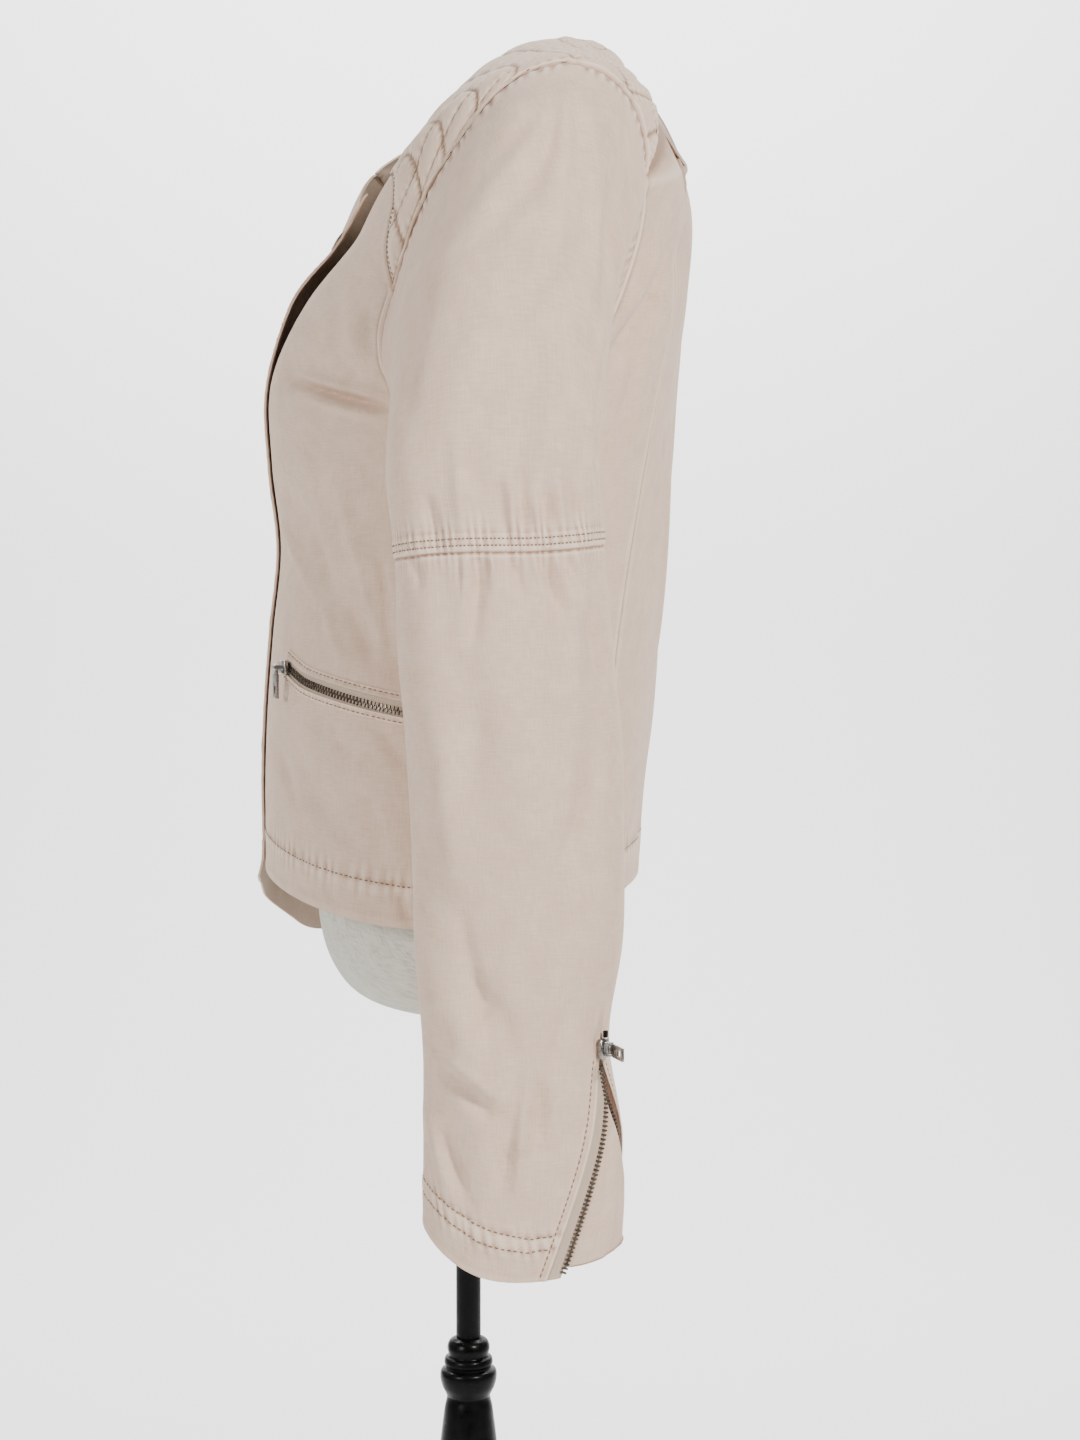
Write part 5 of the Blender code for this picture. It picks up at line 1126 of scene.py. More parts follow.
SLEEVE_ROWS_FINE = np.concatenate([
    np.linspace(0.0, 0.40, 14, endpoint=False),
    np.linspace(0.40, 6.0, 52, endpoint=False),
    np.linspace(6.0, 7.0, 30, endpoint=False),
    np.linspace(7.0, 7.5, 14, endpoint=False),
    np.linspace(7.5, 14.0, 42, endpoint=False),
    np.linspace(14.0, 17.0, 30, endpoint=False),
    np.linspace(17.0, 18.0, 19),
])
ELBOW = 96  # the fine row of the seam between upper and lower sleeve
SLIT_ROW = 56  # of the lower sleeve, where the slit starts
SLEEVE_FINE_COLUMNS = 384
ELBOW_BAND = 9 * MM
CAP_PUCKER = 7.5 * MM
ELBOW_PUCKER = 4.1 * MM
CUFF_PUCKER = 5.6 * MM
ELBOW_STITCHES = (3.5 * MM, 6.9 * MM)
CUFF_ROWS = (17 * MM, 24 * MM)
SLIT_STITCHES = 4.2 * MM  # from the slit's edge


def side_creases(points, side):
    """The sleeve's creases, placed as the side view shows them and kept to their own side."""
    past = points[..., 0] - points.mean(axis=1, keepdims=True)[..., 0]
    out = np.zeros(past.shape)
    faces = (
        (SLEEVE_CREASES, smooth_step(-7 * MM, 0.0, past)),
        (INNER_SLEEVE_CREASES, smooth_step(7 * MM, 0.0, past)),
    )
    for creases, shown in faces:
        lines = []
        for number, crease in enumerate(creases):
            line = crease_line(crease)
            if side == "right":
                line = line + (0.0025 * math.sin(2.1 * number), 0.004 * math.cos(1.3 * number))
            lines.append((line, crease.width * MM, SLEEVE_CREASE_DEPTH * crease.depth * MM))
        out = out + shown * creased(points[..., 1:], lines)
    return out


def even_pitch(girth, pitch):
    """The pitch nearest to the one given that goes whole times into a girth."""
    return float(girth / np.round(girth / pitch))


def cap_out(around, down, shift):
    """The cap is eased into the armhole: puckers over the top, few at the underarm."""
    turn = np.arange(SLEEVE_FINE_COLUMNS + 1) / SLEEVE_FINE_COLUMNS * SLEEVE_COLUMNS
    turn = (turn + SLIT_COLUMN) % SLEEVE_COLUMNS
    top = 0.25 + 0.75 * smooth_step(8, 4, np.minimum(turn, SLEEVE_COLUMNS - turn))[None, :]
    pucker = uneven_wave(around[:1], even_pitch(around[0, -1], CAP_PUCKER), shift)
    out = 0.85 * MM * pucker * top * np.exp(-((down / (9 * MM)) ** 2))
    out = out * smooth_step(0.8 * MM, 4.0 * MM, down)
    return out - 0.9 * MM * close_to(down, 0, 1.0 * MM)


def elbow_out(around, to_elbow, shift):
    """The elbow's band, gathered between the seam and its second row of stitches."""
    girth = around[ELBOW, -1]
    place = around * girth / around[:, -1:]
    tight = uneven_wave(place, even_pitch(girth, ELBOW_PUCKER), shift)
    band = smooth_step(ELBOW_BAND + 1 * MM, ELBOW_BAND - 1 * MM, to_elbow) * (to_elbow >= 0)
    above = np.exp(-((np.maximum(to_elbow - ELBOW_BAND, 0)) / (5 * MM))) * (to_elbow >= 0)
    below = np.exp(-(-to_elbow / (6 * MM))) * (to_elbow < 0)
    out = MM * tight * (0.42 * band + 0.45 * above * (1 - band) + 0.34 * below)
    out = out + 0.45 * MM * band
    for length in ELBOW_STITCHES:
        out = out - 0.3 * MM * close_to(to_elbow, length, 0.8 * MM)
    return out - 1.3 * MM * close_to(to_elbow, 0, 0.9 * MM)


def cuff_out(around, to_cuff, shift):
    """The cuff's turned layer and its two rows of stitches."""
    out = 0.4 * MM * smooth_step(CUFF_ROWS[1] + 1 * MM, CUFF_ROWS[1] - 1 * MM, to_cuff)
    out = out + 0.2 * MM * close_to(to_cuff, 1.2 * MM, 1.6 * MM)
    for length in CUFF_ROWS:
        out = out - 0.3 * MM * close_to(to_cuff, length, 0.9 * MM)
    between = close_to(to_cuff, 20 * MM, 7 * MM)
    return out + 0.42 * MM * uneven_wave(around, CUFF_PUCKER, shift) * between


def sleeve_cloth(side):
    """One sleeve's places and normals, how far its cloth and its sewing stand out, and the painted
    shade at its seams.
    """
    rows = SLEEVE_ROWS_FINE
    points = sleeve_grid(rows, SLEEVE_FINE_COLUMNS)
    normals = grid_normals(points)
    folds = sleeve_folds(rows, SLEEVE_FINE_COLUMNS) + side_creases(points, side)
    around = arc_lengths(points, 1)
    down = arc_lengths(points, 0)
    shift = 0.0 if side == "left" else 2.6
    to_elbow = down[ELBOW : ELBOW + 1] - down
    sewing = cap_out(around, down, shift) + elbow_out(around, to_elbow, shift)
    sewing = sewing + cuff_out(around, down[-1:] - down, shift)
    # The slit's edges turn under beside the zip, in a thin raised welt that holds the folds.
    opened = rows[:, None] > SLIT_START - 0.2
    from_slit = np.minimum(around, around[:, -1:] - around)
    welt = 0.7 * MM * close_to(from_slit, 1.0 * MM, 0.9 * MM)
    welt = np.where(opened, welt - 0.3 * MM * close_to(from_slit, SLIT_STITCHES, 0.8 * MM), 0)
    hold = np.where(opened, 1 - 0.85 * np.exp(-((from_slit / (9 * MM)) ** 2)), 1)
    # Painted shade at the cap's seam and the elbow's seam.
    seams = close_to(down, 0, 0.9 * MM) + 0.6 * close_to(to_elbow, 0, 0.7 * MM)
    return points, normals, (sewing + folds) * hold + welt, sewing + welt, seams


def sewn_sleeves():
    """The upper and lower sleeve of each side, as grids whose rows run up."""
    sewn = {}
    for side, flip in (("left", 1), ("right", -1)):
        points, normals, out, sewing, seams = sleeve_cloth(side)
        turned = np.array([flip, 1, 1])
        for part, rows in (("upper", slice(0, ELBOW + 1)), ("lower", slice(ELBOW, None))):
            places = points[rows]
            outer = (places + normals[rows] * (SHELL_OUT + out[rows])[..., None]) * turned
            around = arc_lengths(places, 1)
            down = arc_lengths(places, 0).mean(axis=1, keepdims=True) + 0 * around
            flat = np.stack([around - around[:, -1:] / 2, -down], axis=-1)
            fine = grid_normals(outer * turned) * turned
            # Paler on raised sewing as rubbed cotton, darker in its hollows and at the cap's and
            # elbow's seams as painted shade.
            wear = relief_wear_and_shade(sewing[rows]) - 1.3 * seams[rows]
            sewn[part, side] = Cloth(outer, fine, flat, places * turned, wear)
    return sewn


# ---------------------------------------------------------------- dressing


def dressed(piece, node, body="jacket_on_stand"):
    """A finished piece that takes the place of one of the source's solids."""
    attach(piece, body)
    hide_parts(node)
    return piece


def hang(node, grid, finish=None, slot="cotton", **shape):
    """A cloth piece that hangs on the form in a solid's place, with its cut."""
    ending = "woven" if slot == "zip_tape" else "cloth"
    piece = cloth_shell(f"{node}_{ending}", grid, finish or COTTON, **shape)
    dressed(piece, node)
    return piece


# ---------------------------------------------------------------- finishes


def linear(hex_colour):
    """The linear colour that a shader takes, from an sRGB one in hex."""
    parts = [int(hex_colour[place : place + 2], 16) / 255 for place in (1, 3, 5)]
    return [*(p / 12.92 if p <= 0.04045 else ((p + 0.055) / 1.055) ** 2.4 for p in parts), 1.0]


def add(tree, kind, settings=None, inputs=None):
    """Adds a node with its settings, and its inputs as values or as links from outputs."""
    made = tree.nodes.new(kind)
    for name, value in (settings or {}).items():
        setattr(made, name, value)
    for name, value in (inputs or {}).items():
        if isinstance(value, bpy.types.NodeSocket):
            tree.links.new(value, made.inputs[name])
        else:
            made.inputs[name].default_value = value
    return made


def finish_named(name, roughness, metallic=0.0, constants=()):
    """A material with its shader, and the numbers that are the same all over it."""
    made = bpy.data.materials.new(name)
    made.use_nodes = True
    shader = made.node_tree.nodes["Principled BSDF"]
    shader.inputs["Roughness"].default_value = roughness
    shader.inputs["Metallic"].default_value = metallic
    for socket, value in constants:
        shader.inputs[socket].default_value = value
    return made, made.node_tree, shader


def shades(tree, amount, stops):
    """A colour ramp from pairs of place and hex colour."""
    ramp = add(tree, "ShaderNodeValToRGB", inputs={"Fac": amount})
    while len(ramp.color_ramp.elements) < len(stops):
        ramp.color_ramp.elements.new(0.5)
    for element, (place, colour) in zip(ramp.color_ramp.elements, stops):
        element.position = place
        element.color = linear(colour)
    return ramp.outputs["Color"]


def noise(tree, where, scale, detail, roughness=0.5, **settings):
    inputs = {"Vector": where, "Scale": scale, "Detail": detail, "Roughness": roughness}
    return add(tree, "ShaderNodeTexNoise", settings, inputs).outputs["Fac"]


def reckoned(tree, operation, *values):
    """What a math node makes of its values."""
    made = add(tree, "ShaderNodeMath", {"operation": operation}, dict(enumerate(values)))
    return made.outputs[0]


def coloured(tree, shader, amount, stops):
    tree.links.new(shades(tree, amount, stops), shader.inputs["Base Color"])


def glossed(tree, shader, amount, low, high):
    """Roughness from low to high as an amount runs from 0.3 to 0.7."""
    names = ("Value", "From Min", "From Max", "To Min", "To Max")
    inputs = dict(zip(names, (amount, 0.3, 0.7, low, high)))
    gloss = add(tree, "ShaderNodeMapRange", inputs=inputs)
    tree.links.new(gloss.outputs["Result"], shader.inputs["Roughness"])


def embossed(tree, shader, height, strength, distance):
    inputs = {"Strength": strength, "Distance": distance, "Height": height}
    bump = add(tree, "ShaderNodeBump", inputs=inputs)
    tree.links.new(bump.outputs["Normal"], shader.inputs["Normal"])


SHEEN = (("Sheen Weight", 0.12), ("Sheen Roughness", 0.6), ("Specular IOR Level", 0.25))
CLOUD = 14 * MM  # size of the cloth's paler and darker areas


def woven(name, stops, thread, slub, relief, contrast, roughness):
    """Plain weave: thread spacing and slub length in metres, and the weave's relief.

    A real thread is about a third of a millimetre, too fine to show, so it is drawn coarser.
    """
    made, tree, shader = finish_named(name, roughness, constants=SHEEN)
    flat = add(tree, "ShaderNodeUVMap", {"uv_map": "cloth"}).outputs["UV"]
    layers = []
    for across, along in ((thread, slub), (slub, thread)):
        scale = (1 / across, 1 / along, 1)
        place = add(tree, "ShaderNodeMapping", inputs={"Vector": flat, "Scale": scale})
        layers.append(noise(tree, place.outputs["Vector"], 1.0, 1.5, 0.6, noise_dimensions="2D"))
    weave = reckoned(tree, "ADD", *layers)
    cloud = noise(tree, flat, 1 / CLOUD, 5.0, 0.62, noise_dimensions="2D")
    wear = add(tree, "ShaderNodeAttribute", {"attribute_name": "wear"}).outputs["Fac"]
    tone = reckoned(tree, "MULTIPLY_ADD", weave, contrast, 0.5 - contrast)
    tone = reckoned(tree, "ADD", tone, reckoned(tree, "MULTIPLY_ADD", cloud, 0.24, -0.12))
    # The colour follows the cloth's attribute: paler on rubbed ridges, painted shade in puckers,
    # troughs, seams and quilting, and a painted highlight on the armhole's rib.
    coloured(tree, shader, reckoned(tree, "MULTIPLY_ADD", wear, 0.30, tone), stops)
    embossed(tree, shader, weave, 0.55, relief)
    return made


# Garment-dyed plain-weave cotton: a matt pale beige, paler on rubbed ridges, pinker-brown in
# puckers (partly dye settled there, partly painted shade), painted shade at seams, a painted
# highlight on the armhole's rib, and fine slubs both ways.
COTTON = woven(
    "washed plain-weave cotton",
    ((0.05, "#a07f68"), (0.36, "#cfb19b"), (0.55, "#dfc4ae"), (0.95, "#f2decb")),
    thread=0.8 * MM,
    slub=9 * MM,
    relief=0.25 * MM,
    contrast=0.22,
    roughness=0.9,
)
# The same cotton seen from inside and at the neck, drawn darker: painted shade for the jacket's
# shadowed inside.
SHADED_COTTON_INSIDE = woven(
    "cotton's inside, in painted shade",
    ((0.05, "#8c7464"), (0.45, "#b49c8a"), (0.95, "#cfbcab")),
    thread=0.9 * MM,
    slub=9 * MM,
    relief=0.25 * MM,
    contrast=0.22,
    roughness=0.92,
)
# Natural unbleached linen over the form: greyer, with dark flecks of stalk in it.
LINEN = woven(
    "natural linen",
    ((0.10, "#77715f"), (0.34, "#b7b2a2"), (0.52, "#d0ccbe"), (0.95, "#e6e2d6")),
    thread=1.2 * MM,
    slub=6 * MM,
    relief=0.35 * MM,
    contrast=0.42,
    roughness=0.92,
)


def sewing_thread():
    """Spun polyester thread, tan brown, with paler and darker flecks."""
    made, tree, shader = finish_named("spun tan thread", 0.6)
    where = add(tree, "ShaderNodeTexCoord").outputs["Object"]
    fleck = noise(tree, where, 1 / (0.8 * MM), 2.0)
    coloured(tree, shader, fleck, ((0.3, "#664f3c"), (0.7, "#93765c")))
    return made


def herringbone_tape(name, dark, pale):
    """Woven polyester zip tape, its chevrons in ribs 1.6 mm wide, drawn 1.1 mm apart."""
    made, tree, shader = finish_named(name, 0.85)
    flat = add(tree, "ShaderNodeUVMap", {"uv_map": "cloth"}).outputs["UV"]
    parts = add(tree, "ShaderNodeSeparateXYZ", inputs={"Vector": flat}).outputs
    turn = reckoned(tree, "PINGPONG", parts["X"], 1.6 * MM)
    slant = reckoned(tree, "ADD", parts["Y"], turn)
    rib = reckoned(tree, "MULTIPLY", slant, 2 * math.pi / (1.1 * MM))
    half = reckoned(tree, "MULTIPLY_ADD", reckoned(tree, "SINE", rib), 0.5, 0.5)
    coloured(tree, shader, half, ((0.15, dark), (0.85, pale)))
    embossed(tree, shader, half, 0.7, 0.2 * MM)
    return made


def plated(name, stops, roughness):
    """Dark antique nickel over die-cast zinc: warm grey, worn brighter in small patches."""
    made, tree, shader = finish_named(name, roughness, metallic=1.0)
    where = add(tree, "ShaderNodeTexCoord").outputs["Object"]
    patches = noise(tree, where, 1 / (2.2 * MM), 4.0, 0.7)
    coloured(tree, shader, patches, stops)
    glossed(tree, shader, patches, roughness + 0.12, roughness - 0.08)
    embossed(tree, shader, patches, 0.25, 0.05 * MM)
    return made


def lacquered(name, colour, roughness, coat, grain):
    """Black enamel: deep and even, with faint waves left by the brush or the spray."""
    constants = (("Coat Weight", coat), ("Coat Roughness", 0.12), ("Specular IOR Level", 0.10))
    made, tree, shader = finish_named(name, roughness, constants=constants)
    where = add(tree, "ShaderNodeTexCoord").outputs["Object"]
    waves = noise(tree, where, 1 / grain, 3.0)
    coloured(tree, shader, waves, ((0.3, colour), (0.75, "#0b0b0c")))
    glossed(tree, shader, waves, roughness - 0.05, roughness + 0.08)
    embossed(tree, shader, waves, 0.15, 0.2 * MM)
    return made


THREAD = sewing_thread()
TAPE = herringbone_tape("herringbone zip tape", "#ab937e", "#dcc8b4")
# The far tape is a darker brown copy of the same tape: painted shade on the far tape, whose inner
# face lies in shadow inside the cuff.
SHADED_FAR_TAPE = herringbone_tape("far herringbone zip tape, in painted shade", "#4a3023", "#8a6148")
TEETH = plated("antique nickel teeth", ((0.3, "#352e28"), (0.7, "#8b8074")), 0.34)
NICKEL = plated("dark nickel plate", ((0.3, "#6e6a66"), (0.7, "#b5b0a9")), 0.26)
DARK_STOP = plated("blackened stop", ((0.3, "#151413"), (0.7, "#2a2725")), 0.45)
LACQUER = lacquered("black gloss lacquer on turned wood", "#020202", 0.30, 0.04, 9 * MM)
STEEL = lacquered("black stoved steel tube", "#040404", 0.42, 0.02, 1.2 * MM)


# ---------------------------------------------------------------- sewing


def on_grid(grid, rows, columns):
    """Places and the way out on a panel's outside, at fractional rows and columns."""
    last_row, last_column = grid.outer.shape[0] - 1, grid.outer.shape[1] - 1
    row = np.clip(np.floor(rows).astype(int), 0, last_row - 1)
    column = np.clip(np.floor(columns).astype(int), 0, last_column - 1)
    up = (rows - row)[:, None]
    side = (columns - column)[:, None]
    found = []
    for table in (grid.outer, grid.normals):
        low = (1 - side) * table[row, column] + side * table[row, column + 1]
        high = (1 - side) * table[row + 1, column] + side * table[row + 1, column + 1]
        found.append((1 - up) * low + up * high)
    return found[0], unit(found[1])


def row_beside(grid, edge, length, start=0.0, end=1.0):
    """A line at a length from one of a panel's edges, between two shares of that edge."""
    lengths = dict(zip(("left", "right", "bottom", "top"), edge_lengths(grid.base)))[edge]
    level = edge in ("bottom", "top")
    lengths = lengths.T if level else lengths
    order = slice(None, None, -1 if edge in ("right", "top") else 1)
    last = len(lengths) - 1
    wanted = np.arange(int(start * last), int(end * last) + 1)
    places = np.arange(lengths.shape[1])[order]
    found = np.array([np.interp(length, lengths[place][order], places) for place in wanted])
    beside = wanted.astype(float)
    return on_grid(grid, found, beside) if level else on_grid(grid, beside, found)


STITCH_PITCH = 3.1 * MM
ELBOW_STITCH_PITCH = 2.0 * MM
STITCH_LENGTH = 0.72  # of the pitch
STITCH_WIDTH = 0.75 * MM
STITCH_HEIGHT = 0.36 * MM
# One stitch as places along, aside and out, dipping under at both ends, and its faces.
STITCH_SHAPE = np.array([
    (-0.50, 0.0, -0.45), (-0.30, -0.5, 0.10), (-0.30, 0.5, 0.10), (-0.30, 0.0, 1.0),
    (0.30, -0.5, 0.10), (0.30, 0.5, 0.10), (0.30, 0.0, 1.0), (0.50, 0.0, -0.45),
])
STITCH_FACES = np.array([
    (0, 1, 3), (0, 3, 2), (0, 2, 1), (1, 4, 6), (1, 6, 3), (3, 6, 5), (3, 5, 2),
    (2, 5, 4), (2, 4, 1), (7, 6, 4), (7, 5, 6), (7, 4, 5),
])


def frames_at(points, normals, middles, reach):
    """Places along a line, and the ways along it, across it and out there."""
    travelled = arc_lengths(points, 0)
    ahead = read_off(points, middles + reach, travelled)
    behind = read_off(points, middles - reach, travelled)
    run = unit(ahead - behind)
    across = unit(np.cross(unit(read_off(normals, middles, travelled)), run))
    return read_off(points, middles, travelled), run, across, np.cross(run, across)


def stitched(name, lines, pitch):
    """Lockstitches along lines of places and normals, each dipping into the cloth."""
    vertices = []
    faces = []
    start = 0
    for number, (points, normals) in enumerate(lines):
        whole = arc_lengths(points, 0)[-1]
        count = int(whole / pitch)
        if count < 1:
            continue
        middles = (np.arange(count) + 0.5) * whole / count
        places, run, across, out = frames_at(points, normals, middles, 0.4 * pitch)
        lengths = STITCH_LENGTH * pitch * (1 + 0.10 * np.sin(2.3 * np.arange(count) + number))
        for along, side, height in STITCH_SHAPE:
            ahead = run * (along * lengths)[:, None]
            vertices.append(
                places + ahead + across * side * STITCH_WIDTH + out * height * STITCH_HEIGHT
            )
        index = start + np.arange(count)[:, None, None] + STITCH_FACES[None] * count
        faces.append(index.reshape(-1, 3))
        start += len(STITCH_SHAPE) * count
    mesh = bpy.data.meshes.new(name)
    mesh.from_pydata(np.concatenate(vertices).tolist(), [], np.concatenate(faces).tolist())
    mesh.materials.append(THREAD)
    mesh.shade_smooth()
    piece = into_scene(name, mesh)
    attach(piece, "jacket_on_stand")
    return piece


def quilting_rows(grid, side):
    """The yoke's diagonal rows of stitches, both families, as lines on its outside."""
    if side == "left":
        first, second = quilt_fields(grid.base)
    else:
        first, second = (field[:, ::-1] for field in quilt_fields(grid.base[:, ::-1]))
    rows, columns = first.shape
    lines = []
    for field in (first, second):
        for number in range(math.floor(field.min()), math.ceil(field.max()) + 1):
            found_rows, found_columns = [], []
            for row in range(2, rows - 2):
                line = field[row]
                rises = line[-1] > line[0]
                low, high = (line[0], line[-1]) if rises else (line[-1], line[0])
                if not low < number < high:
                    continue
                order = slice(None) if rises else slice(None, None, -1)
                column = np.interp(number, line[order], np.arange(columns)[order])
                if 2 < column < columns - 3:
                    found_rows.append(float(row))
                    found_columns.append(float(column))
            if len(found_rows) > 4:
                lines.append(on_grid(grid, np.array(found_rows), np.array(found_columns)))
    return lines


# ---------------------------------------------------------------- shaping metal


def begin():
    """Nothing selected and nothing in edit mode."""
    if bpy.context.object and bpy.context.object.mode != "OBJECT":
        bpy.ops.object.mode_set(mode="OBJECT")
    bpy.ops.object.select_all(action="DESELECT")


def take(piece):
    """Makes a piece the only one that is selected and active."""
    begin()
    bpy.context.view_layer.objects.active = piece
    piece.select_set(True)


def settled(piece):
    """Puts a piece's place and size into its mesh."""
    take(piece)
    bpy.ops.object.transform_apply(location=True, rotation=True, scale=True)
    return piece


def edit_all():
    bpy.ops.object.mode_set(mode="EDIT")
    bpy.ops.mesh.select_all(action="SELECT")


def select_sharp(degrees):
    """Selects the edges that are sharper than this, and nothing else."""
    bpy.ops.mesh.select_all(action="DESELECT")
    bpy.ops.mesh.edges_select_sharp(sharpness=math.radians(degrees))


def made_whole(piece, name, finish, smooth=32):
    """Names a shaped piece, settles it and gives it its finish."""
    settled(piece)
    bpy.ops.object.shade_smooth_by_angle(angle=math.radians(smooth))
    piece.name = name
    piece.data.materials.clear()
    piece.data.materials.append(finish)
    return piece


def turned(name, profile, finish, sides, bevel=0.0):
    """A piece turned on a lathe, from radius and height pairs, drawn up ring by ring."""
    begin()
    radius, height = profile[0]
    bpy.ops.mesh.primitive_circle_add(
        vertices=sides, radius=radius, fill_type="NGON", location=(0, 0, height)
    )
    piece = bpy.context.object
    edit_all()
    for next_radius, next_height in profile[1:]:
        bpy.ops.mesh.extrude_region_move(
            TRANSFORM_OT_translate={"value": (0, 0, next_height - height)}
        )
        share = next_radius / radius
        bpy.ops.transform.resize(value=(share, share, 1), center_override=(0, 0, next_height))
        radius, height = next_radius, next_height
    bpy.ops.mesh.select_all(action="SELECT")
    bpy.ops.mesh.normals_make_consistent(inside=False)
    if bevel:
        select_sharp(28)
        bpy.ops.mesh.bevel(offset=bevel, segments=2, profile=0.6, affect="EDGES")
    bpy.ops.object.mode_set(mode="OBJECT")
    return made_whole(piece, name, finish)


def shaped_block(size, place, bevel, taper=None):
    """A block shaped from a cube: scaled, its edges eased, one end drawn in."""
    begin()
    bpy.ops.mesh.primitive_cube_add(size=1, location=place)
    piece = bpy.context.object
    edit_all()
    bpy.ops.transform.resize(value=size, center_override=place)
    bpy.ops.object.mode_set(mode="OBJECT")
    if taper:
        side, share = taper
        for vertex in piece.data.vertices:
            if vertex.co.y * side > 0:
                vertex.co.x *= share
                vertex.co.z *= 0.5 + 0.5 * share
    edit_all()
    bpy.ops.mesh.bevel(offset=bevel, segments=1, affect="EDGES")
    bpy.ops.object.mode_set(mode="OBJECT")
    return settled(piece)


def copies(name, original, frames, finish):
    """One mesh of a shape's copies, each in its own frame of origin and three directions."""
    shape = original.data
    points = np.array([vertex.co for vertex in shape.vertices])
    faces = [list(face.vertices) for face in shape.polygons]
    vertices = []
    all_faces = []
    for number, (origin, *ways) in enumerate(frames):
        vertices.append(origin + sum(points[:, axis : axis + 1] * ways[axis] for axis in range(3)))
        all_faces += [[corner + number * len(points) for corner in face] for face in faces]
    mesh = bpy.data.meshes.new(name)
    mesh.from_pydata(np.concatenate(vertices).tolist(), [], all_faces)
    mesh.materials.append(finish)
    bpy.data.objects.remove(original)
    piece = into_scene(name, mesh)
    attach(piece, "jacket_on_stand")
    return piece


def polished(node, body, ease):
    """A metal solid's own shape with its flats made whole and its edges eased."""
    name = f"{node}_polished"
    piece = into_scene(name, bpy.data.objects[node].data.copy())
    take(piece)
    edit_all()
    bpy.ops.mesh.remove_doubles(threshold=0.01 * MM)
    bpy.ops.mesh.dissolve_limited(angle_limit=math.radians(4))
    select_sharp(50)
    bpy.ops.mesh.bevel(offset=ease, segments=2, affect="EDGES", clamp_overlap=True)
    bpy.ops.mesh.select_all(action="SELECT")
    bpy.ops.mesh.quads_convert_to_tris()
    bpy.ops.object.mode_set(mode="OBJECT")
    return dressed(made_whole(piece, name, NICKEL), node, body)


def places_of(node):
    """The places of a solid's corners."""
    solid = bpy.data.objects[node]
    return np.array([solid.matrix_world @ vertex.co for vertex in solid.data.vertices])


def drawn_along(points, normals, pitch):
    """Frames along a line at an even pitch: origin, along, across and out."""
    count = int(arc_lengths(points, 0)[-1] / pitch - 0.5)
    middles = (np.arange(count) + 0.5) * pitch
    return list(zip(*frames_at(points, normals, middles, pitch)))


# ---------------------------------------------------------------- cuff zips


def slit_outline(level):
    """Turns across the slit from its near edge to its far one, and lengths from the near edge."""
    turns = slit_turns(level, SLEEVE_FINE_COLUMNS)
    trial = np.linspace(turns[-1] - 2 * math.pi, turns[0], 120)
    return trial, arc_lengths(sleeve_ring(trial, level), 0)


def slit_strip(levels, lengths_of_gap):
    """A grid on the sleeve's outline; lengths_of_gap gives each row's lengths from its gap."""
    rows = []
    outward = []
    for level in levels:
        trial, travelled = slit_outline(level)
        turns = np.interp(lengths_of_gap(travelled[-1]), travelled, trial)
        rows.append(sleeve_ring(turns, level))
        ahead = sleeve_ring(turns + 0.03, level)
        behind = sleeve_ring(turns - 0.03, level)
        outward.append(unit(np.cross(ahead - behind, UP)))
    return np.array(rows), np.array(outward)


def tape_width(gap):
    return min(TAPE_WIDTH, gap / 2 - SEAM)


def near_tape_lengths(gap):
    return np.linspace(SEAM, tape_width(gap), 5)


def far_tape_lengths(gap):
    return gap - near_tape_lengths(gap)[::-1]


def gusset_lengths(gap):
    """Under the near tape, across the open part and under the far tape."""
    near = tape_width(gap)
    under = 0.25 * near
    inside = np.linspace(near, gap - near, GUSSET_PLACES)
    return np.concatenate([[under, under * 2], inside, [gap - under * 2, gap - under]])


GUSSET_PLACES = 25  # across its open part
CUFF_LEVELS = np.linspace(SLIT_TOP + SLIDER_BELOW_SLIT, len(SLEEVE_RINGS) - 1.0, 81)


def gusset_out():
    """The gusset's belly, its soft folds and the puckers above its hem."""
    across = np.concatenate([[0, 0], np.linspace(0, 1, GUSSET_PLACES), [0, 0]])
    down = np.linspace(0, 1, len(CUFF_LEVELS))[:, None]
    belly = GUSSET_BULGE * smooth_step(0, 1, down) ** 0.6
    out = belly * np.sin(math.pi * across)[None, :] ** 0.8 - GUSSET_INSET
    for place, lean, start, end, width, depth in (
        (0.24, 0.10, 0.35, 0.98, 0.055, 1.3),
        (0.42, 0.06, 0.20, 0.80, 0.060, -0.9),
        (0.60, -0.08, 0.45, 1.00, 0.070, 1.2),
        (0.80, -0.05, 0.30, 0.90, 0.050, -0.8),
    ):
        middle = place + lean * (down - 0.5)
        held = smooth_step(start - 0.1, start + 0.15, down)
        held = held * smooth_step(end + 0.1, end - 0.15, down)
        out = out - depth * MM * held * close_to(across[None, :], middle, width)
    return out


def grid_on(points, normals, out):
    """A panel from places that already lie where its middle is."""
    flat = np.stack([arc_lengths(points, 1), arc_lengths(points, 0)], axis=-1)
    out = out + np.zeros(points.shape[:2])
    outer = points + normals * out[..., None]
    return Cloth(outer, fine_normals(outer), flat, points, 0 * out)


def gusset_grid():
    """The gusset's places and normals from the hem up, its hem lifted off the cuff's."""
    points, normals = slit_strip(CUFF_LEVELS[2:], gusset_lengths)
    points, normals = points[::-1], normals[::-1]
    points = points + normals * gusset_out()[2:][::-1][..., None]
    for row, share in enumerate((1.0, 0.8, 0.55, 0.25)):
        points[row, 2:-2] += UP * GUSSET_HEM_RISE * share
    return points, normals


